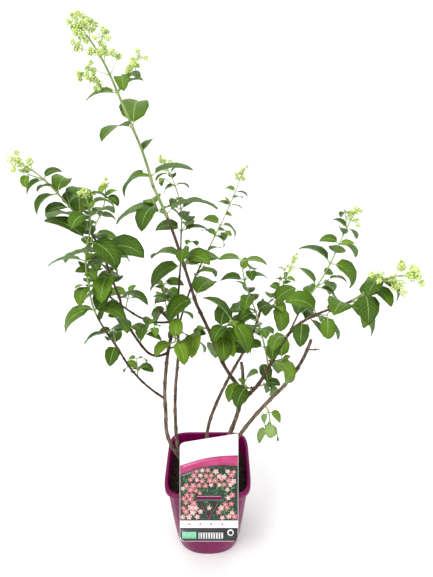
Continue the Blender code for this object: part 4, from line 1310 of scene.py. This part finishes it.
def grow_branch(own, root, direction, turn, reach, draw, space):
    """A branch of a spray and its knobs of buds, at its end and on either side, or nothing without room."""
    angle = math.radians(SPRAY_ANGLE + play(draw, SPRAY_ANGLE_PLAY))
    way = direction * math.cos(angle) + across(direction, turn) * math.sin(angle)
    end = root + way * reach
    knobs = [(end, KNOB_RADIUS * draw.uniform(*END_KNOB))]
    for k in range(1, int(reach / KNOB_SPACING)):
        spot = end - way * k * KNOB_SPACING * SIDE_KNOB_STEP
        off = across(way, turn + 90 + 180 * (k % 2)) * KNOB_RADIUS * SIDE_KNOB_OFFSET
        knobs.append((spot + off, KNOB_RADIUS * draw.uniform(*SIDE_KNOB)))
    room = tube_rings(straight(root, end, way, BRANCH_CLEAR), (BRANCH_ROOM * KNOB_RADIUS,) * 2, BOUGH_SIDES)
    tip = end + way * BRANCH_TIP_ROOM * KNOB_RADIUS
    if not space.free(room, tip, own, leaf=False):
        return [], []
    space.place(room, tip, own)
    return [straight(root, end, way, 0.5)], knobs


def grow_spray(name, lines, draw, space):
    """Branches in crossed pairs, shorter towards the tip, each with its knobs of buds."""
    line, spray = lines[name], SPRAYS[name]
    branches, knobs = [], [(line[0][-1], KNOB_RADIUS)]
    length = sum((b - a).length for a, b in zip(line[0], line[0][1:])) * (1 - spray.start)
    steps = max(1, round(length / SPRAY_STEP))
    plan = [(spray.start - WING_DROP, turn, spray.wings) for turn in WING_TURNS if spray.wings]
    for i in range(steps):
        along = (i + SPRAY_FIRST) / steps
        share = spray.start + (1 - spray.start) * along
        plan += [(share, 90 * i + opposite, spray.reach * (1 - SPRAY_TAPER * along)) for opposite in (0, 180)]
    for share, turn, reach in plan:
        root, direction = at_share(line, share)
        angle = turn + play(draw, SPRAY_TURN_PLAY)
        reach *= draw.uniform(*SPRAY_REACH_PLAY)
        more = grow_branch(name, root, direction, angle, reach, draw, space)
        branches += more[0]
        knobs += more[1]
    return branches, knobs


# Wood


def fine_line(name, lines, limbs):
    """A limb's centre line at four times the steps, let into its parent a little way."""
    limb = limbs[name]
    points, directions = centre_line(limb, lines[name][0][0], FINER)
    if follows_on(limb):
        directions[0] = lines[name][1][0]
        points[0] = points[0] - directions[0] * LET_IN
    return points, directions


def thinning(radii):
    """The radii at the foot, middle and tip of a short straight piece."""
    return [radii[0], sum(radii) / 2, radii[1]]


def limb_radii(limb, count, spots, swelling):
    """Radii along a limb: its taper, a swelling at each node and a flare where it starts."""
    flare = JOINT_FLARE if limb.parent else FOOT_FLARE
    radii = []
    for i in range(count):
        share = i / (count - 1)
        distance = share * limb.length
        radius = limb.radii[0] + (limb.radii[1] - limb.radii[0]) * share
        nodes = sum(math.exp(-(((distance - spot * limb.length) / NODE_REACH) ** 2)) for spot in spots)
        radii.append(radius * (1 + swelling * nodes) * (1 + flare * math.exp(-distance / FLARE_REACH)))
    return radii


def node_spots(limb, draw):
    """Shares of a bare limb where old nodes ring it."""
    count = max(1, round(limb.length / NODE_SPACING))
    return [(k + NODE_PLACE + play(draw, NODE_PLAY)) / count for k in range(count)]


def add_old_bud(bm, point, way, size):
    """A dry bud or a stub of an old side twig."""
    place = ring_places([point + way * size / 2], [way], [1])[0]
    foot, tip = (size * share for share in OLD_BUD_RADII)
    bmesh.ops.create_cone(
        bm, cap_ends=True, segments=OLD_BUD_SIDES, radius1=foot, radius2=tip, depth=size, matrix=place
    )


def add_bark(bm, limb, line, spots):
    """A bare limb's tube, cracked and lumpy, and swollen at its old nodes."""
    points, directions = line
    radii = limb_radii(limb, len(points), spots, WOOD_NODE)
    rings = sweep(bm, ring_places(points, directions, radii), STEM_RING)
    for (ring, _), centre, radius in zip(rings, points, radii):
        for vert in ring:
            crack = noise.noise(vert.co * Vector(CRACKS))
            depth = CRACK_DEPTH * crack + LUMP_DEPTH * noise.noise(vert.co * LUMPS)
            vert.co += (vert.co - centre).normalized() * radius * depth


def make_wood(lines, limbs):
    """The bare stems and dead twigs as one barked mesh, and the younger, redder boughs as another."""
    draw = random.Random("wood")
    old, young = [], []
    for name in {**STEMS, **BOUGHS, **DEAD_TWIGS}:
        limb = limbs[name]
        points, directions = fine_line(name, lines, limbs)
        spots = node_spots(limb, draw)
        bm = bmesh.new()
        if limb.parent is None:
            points[0] = points[0] - directions[0] * ROOT_SINK
        add_bark(bm, limb, (points, directions), spots)
        for spot in spots:
            place, direction = at_share((points, directions), spot)
            turn = draw.uniform(0, 360)
            for opposite in (0, 180):
                way = (direction * OLD_BUD_LEAN + across(direction, turn + opposite)).normalized()
                root = place + way * limb.radii[1] * OLD_BUD_REACH
                add_old_bud(bm, root, way, draw.uniform(*OLD_BUD))
        (young if name in BOUGHS else old).append(bm)
    bark = bark_finish("bark_old", (0.050, 0.033, 0.022), (0.215, 0.150, 0.100))
    red = bark_finish("bark_young", (0.026, 0.012, 0.008), (0.110, 0.060, 0.038))
    piece = gather("stem_bark", old, [bark])
    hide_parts(*STEMS, *DEAD_TWIGS)
    piece = gather("bough_bark", young, [red])
    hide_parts(*BOUGHS)


def bark_finish(name, dark, light):
    """Bark that runs in fine upright streaks, with pale specks of breathing pores."""
    material = new_finish(name, 0.82, specular=0.25)
    streaks = remap(material, grain(material, 30, 6, (14, 14, 1), 0.4), 0.36, 0.66)
    colour = blend_colours(material, streaks, dark, light)
    specks = remap(material, grain(material, 420, 2, (1, 1, 0.6)), 0.66, 0.72)
    into_shader(material, "Base Color", blend_colours(material, specks, colour, (0.36, 0.28, 0.20)))
    cracks = relief(material, grain(material, 36, 8, (16, 16, 1), 0.5), 0.8, 0.0012)
    into_shader(material, "Normal", relief(material, specks, 0.4, 0.0004, cracks))
    return material


# Shoots, leaves and flowers


def make_shoots(lines, limbs, grown):
    """The living shoots and side twigs: brown at the foot, green towards a flowering tip."""
    meshes = []
    for name in SHOOTS:
        points, directions = fine_line(name, lines, limbs)
        radii = limb_radii(limbs[name], len(points), LEAFAGE[name].nodes, SHOOT_NODE)
        bm = bmesh.new()
        rings = sweep(bm, ring_places(points, directions, radii), SHOOT_RING)
        green_from = GREEN_SHARES.get(name, GREEN_FROM if name in SPRAYS else 0.0)
        for i, (_, faces) in enumerate(rings):
            for face in faces:
                face.material_index = int(i / len(rings) > green_from)
        for twig in grown[name].twigs:
            for _, faces in sweep(bm, ring_places(*twig, thinning(TWIG_RADII)), SHOOT_RING):
                for face in faces:
                    face.material_index = 1
        meshes.append(bm)
    brown = mottled("shoot_brown", (0.050, 0.022, 0.014), (0.125, 0.062, 0.036), 60, 0.5, stretch=(4, 4, 1))
    green = mottled("shoot_green", (0.180, 0.270, 0.070), (0.330, 0.420, 0.150), 50, 0.45, stretch=(3, 3, 1))
    piece = gather("shoot_stems", meshes, [brown, green])
    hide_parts(*SHOOTS)


def blade_width(share):
    """Half width of a blade, as a share of its widest, at a share of the way to its tip."""
    shape = share**BLADE_BASE * (1 - share) ** BLADE_TIP
    widest = BLADE_BASE / (BLADE_BASE + BLADE_TIP)
    return shape / (widest**BLADE_BASE * (1 - widest) ** BLADE_TIP) + BLADE_LEAST


def add_blade(bm, leaf, draw):
    """A leaf's blade: toothed, folded along its midrib, waved at its margin and quilted between its veins."""
    tint = draw.uniform(*TINT_PLAY)
    wave = MARGIN_WAVE * draw.uniform(*WAVE_PLAY)
    start = draw.uniform(0, 6.3)
    fold = BLADE_FOLD * draw.uniform(*FOLD_PLAY)
    shares = [STALK_SHARE + (1 - STALK_SHARE) * i / BLADE_ROWS for i in range(BLADE_ROWS + 1)]
    spine = [leaf_place(leaf, share) for share in shares]

    def surface(thin):
        def place(across_share, along):
            row = round(along * BLADE_ROWS)
            point, side, up = spine[row]
            edge = abs(across_share)
            half = BLADE_WIDE * leaf.length * blade_width(along)
            if edge == 1:
                half *= 1 + TOOTH * (1 if row % 2 else -1)
            phase = WAVE_PITCH * along + start + (WAVE_SHIFT if across_share < 0 else 0)
            bulge = (1 if row % 2 else QUILT_DIP) if QUILT_SPAN[0] < edge < QUILT_SPAN[1] else 0
            rise = fold * edge**FOLD_CURVE * half
            rise += (wave * math.sin(phase) * edge**2 + QUILT * bulge) * leaf.length
            return point + side * across_share * half + up * (rise - thin * (1 - EDGE_THIN * edge))

        return place

    before = len(bm.verts)
    _, under = slab(bm, BLADE_COLUMNS, BLADE_ROWS, surface(0), surface(BLADE_THIN))
    for face in under:
        face.material_index = 1
    bm.verts.ensure_lookup_table()
    layer = bm.verts.layers.float_vector["leaf_place"]
    grid = (BLADE_COLUMNS + 1) * (BLADE_ROWS + 1)
    for index, vert in enumerate(bm.verts[before:]):
        row, column = divmod(index % grid, BLADE_COLUMNS + 1)
        vert[layer] = (2 * column / BLADE_COLUMNS - 1, row / BLADE_ROWS, tint)


def add_stalk(bm, leaf):
    """A leaf's stalk, which runs on along the blade as its midrib."""
    points, directions, radii = [], [], []
    full = STALK_RADIUS * STALK_SWELL
    for share in STALK_STATIONS:
        point, side, up = leaf_place(leaf, share)
        radius = full * (1 - share) ** STALK_TAPER * min(1, leaf.length / FULL_STALK_LEAF)
        radii.append(radius + STALK_LEAST)
        points.append(point - up * radii[-1] * (MIDRIB_SUNK if share > STALK_SHARE else STALK_SUNK))
        directions.append(side.cross(up))
    sweep(bm, ring_places(points, directions, radii), STALK_RING)


def young_leaves(name, lines, draw, space):
    """Small new leaves in the axils of a shoot's leaf pairs, and lesser pairs between them."""
    nodes, turns = LEAFAGE[name].nodes, LEAFAGE[name].turns
    spots = []
    for pair in AXIL_TURNS:
        for share, turn in zip(nodes, turns):
            spots += [(share, turn + opposite, YOUNG_LEAF) for opposite in pair]
    for lower, upper, turn in zip(nodes, nodes[1:], turns):
        spots += [((lower + upper) / 2, turn + opposite, BETWEEN_LEAF) for opposite in BETWEEN_TURNS]
    leaves = []
    for share, turn, lengths in spots:
        root, direction = at_share(lines[name], share)
        angle = math.radians(draw.uniform(*YOUNG_ANGLE))
        start = direction * math.cos(angle) + across(direction, turn) * math.sin(angle)
        roll = math.radians(play(draw, YOUNG_ROLL_PLAY))
        leaf = Leaf(root, start.normalized(), roll, draw.uniform(*lengths), draw.uniform(*YOUNG_ARCH))
        rings, tip = leaf_rings(leaf, LEAF_CLEARANCE / 2)
        if draw.random() < YOUNG_CHANCE and space.free(rings, tip, name):
            space.place(rings, tip, name)
            leaves.append(leaf)
    return leaves


def make_leaves(grown):
    blades, stalks = {tone: {} for tone in LEAF_TONES}, []
    for name, plant in grown.items():
        draw = random.Random("leaves of " + name)
        own_tone = SHOOT_TONES.get(name, "mid")
        stalk_mesh = bmesh.new()
        grown_up = [leaf._replace(length=leaf.length * LEAF_SHRINK) for leaf in plant.leaves]
        for leaf in grown_up + plant.young:
            tone = own_tone if draw.random() < OWN_TONE_CHANCE else NEXT_TONE[own_tone]
            if leaf.length < YOUNG_LEAF[1] and tone != "pale":
                tone = "fresh"
            if name not in blades[tone]:
                blades[tone][name] = bmesh.new()
                blades[tone][name].verts.layers.float_vector.new("leaf_place")
            add_blade(blades[tone][name], leaf, draw)
            add_stalk(stalk_mesh, leaf)
        stalks.append(stalk_mesh)
    under = leaf_finish("leaf_under", (0.120, 0.215, 0.065), (0.205, 0.310, 0.115), 0.6, (0.27, 0.37, 0.16))
    for tone, (dark, light) in LEAF_TONES.items():
        veins = Vector(VEIN_PALE).lerp(Vector(light), VEIN_BLADE_SHARE)
        face = leaf_finish(f"leaf_{tone}", dark, light, 0.40, veins)
        gather(f"leaves_{tone}", blades[tone].values(), [face, under])
    stalk = mottled("leaf_stalk", (0.210, 0.330, 0.090), (0.330, 0.440, 0.150), 60, 0.45)
    gather("leaf_stalks", stalks, [stalk])


def add_bud_cluster(bm, middle, radius, draw):
    """A knob of round flower buds, packed over a small ball."""
    for k in range(BUDS):
        height = 1 - 2 * (k + 0.5) / BUDS
        angle = k * BUD_TURN + play(draw, BUD_TURN_PLAY)
        flat = math.sqrt(1 - height * height)
        way = Vector((flat * math.cos(angle), flat * math.sin(angle), height))
        place = Matrix.Translation(middle + way * radius * draw.uniform(*BUD_REACH))
        size = BUD_RADIUS * draw.uniform(*BUD_PLAY)
        bmesh.ops.create_icosphere(bm, subdivisions=1, radius=size, matrix=place)


def any_way(draw):
    return Vector([play(draw, 1) for _ in range(3)]).normalized()


def make_flowers(grown):
    buds, stalks = [], []
    for name, plant in grown.items():
        if not plant.knobs:
            continue
        draw = random.Random("buds of " + name)
        bud_mesh, stalk_mesh = bmesh.new(), bmesh.new()
        for branch in plant.branches:
            sweep(stalk_mesh, ring_places(*branch, thinning(BRANCH_RADII)), STALK_RING)
        for middle, radius in plant.knobs:
            add_bud_cluster(bud_mesh, middle, radius, draw)
            for _ in range(SIDE_CLUSTERS.get(name, 1)):
                way = any_way(draw)
                spot = middle + way * radius * draw.uniform(*SIDE_REACH)
                add_bud_cluster(bud_mesh, spot, radius * draw.uniform(*SIDE_SIZE), draw)
                sweep(stalk_mesh, ring_places([middle, spot], [way, way], SIDE_STALK), BUD_STALK_RING)
            for _ in range(BUD_STALKS):
                way = any_way(draw)
                places = ring_places([middle, middle + way * radius], [way, way], BUD_STALK)
                sweep(stalk_mesh, places, BUD_STALK_RING)
        buds.append(bud_mesh)
        stalks.append(stalk_mesh)
    lime = mottled("bud_lime", (0.440, 0.590, 0.150), (0.700, 0.800, 0.310), 130, 0.5)
    stem = mottled("spray_stalk", (0.380, 0.520, 0.140), (0.560, 0.680, 0.240), 80, 0.5)
    gather("flower_buds", buds, [lime])
    gather("spray_stalks", stalks, [stem])


Grown = namedtuple("Grown", "leaves twigs branches knobs young")


def grow_shrub():
    limbs = {**STEMS, **BOUGHS, **DEAD_TWIGS, **SHOOTS}
    lines = {}
    lay_out(limbs, lines)
    space = Space()
    for name, limb in limbs.items():
        space.add_limb(name, tube_rings(lines[name], limb.radii, sides_of(name), swell=LEAF_CLEARANCE))
    grown = {}
    for seed, name in enumerate(SHOOTS):
        draw = random.Random(seed)
        leaves, twigs = grow_leaves(name, lines, draw, space)
        branches, knobs = grow_spray(name, lines, draw, space) if name in SPRAYS else ([], [])
        grown[name] = Grown(leaves, twigs, branches, knobs, [])
    for name, plant in grown.items():
        plant.young.extend(young_leaves(name, lines, random.Random("young of " + name), space))
    return limbs, lines, grown


# Stage


def make_stage():
    """A pale floor that sweeps up behind the plant, a white sky and soft lamps."""
    bm = bmesh.new()
    columns, rows = FLOOR_GRID
    for point in bmesh.ops.create_grid(bm, x_segments=columns, y_segments=rows, size=1)["verts"]:
        run = FLOOR_FRONT + FLOOR_RUN * (point.co.y + 1) / 2
        turn = min(max(0, (run - FLOOR_BACK) / FLOOR_BEND), math.pi / 2)
        past = max(0, run - FLOOR_BACK - FLOOR_BEND * math.pi / 2)
        y = min(run, FLOOR_BACK) + FLOOR_BEND * math.sin(turn)
        point.co = (point.co.x * FLOOR_REACH, y, FLOOR_BEND * (1 - math.cos(turn)) + past)
    floor = as_object("studio_floor", bm)
    floor.data.shade_smooth()
    floor.data.materials.append(mottled("studio_white", (0.895,) * 3, (0.9,) * 3, 2, 0.9, bump=0.0))
    world = bpy.data.worlds.new("studio")
    bpy.context.scene.world = world
    world.use_nodes = True
    world.node_tree.nodes["Background"].inputs["Color"].default_value = (1, 1, 1, 1)
    world.node_tree.nodes["Background"].inputs["Strength"].default_value = SKY_STRENGTH
    for name, lamp in LAMPS.items():
        light = bpy.data.lights.new(name, "AREA")
        light.size = lamp.size
        light.energy = lamp.power
        obj = add_object(name, light)
        obj.location = lamp.place
        obj.rotation_euler = (Vector(lamp.target) - Vector(lamp.place)).to_track_quat("-Z", "Y").to_euler()


def make_camera():
    lens = bpy.data.cameras.new("photo_camera")
    lens.sensor_width = SENSOR
    lens.sensor_fit = "AUTO"
    lens.lens = SENSOR * FOCAL_PIXELS / FRAME_LONG_SIDE
    camera = add_object("photo_camera", lens)
    camera.location = CAMERA_PLACE
    camera.rotation_euler = (math.radians(90 - CAMERA_DIP), 0, 0)
    bpy.context.scene.camera = camera
    bpy.context.scene.view_settings.view_transform = "Standard"


make_camera()
make_stage()
make_pot()
make_soil()
make_label()
all_limbs, all_lines, all_grown = grow_shrub()
make_wood(all_lines, all_limbs)
make_shoots(all_lines, all_limbs, all_grown)
make_leaves(all_grown)
make_flowers(all_grown)
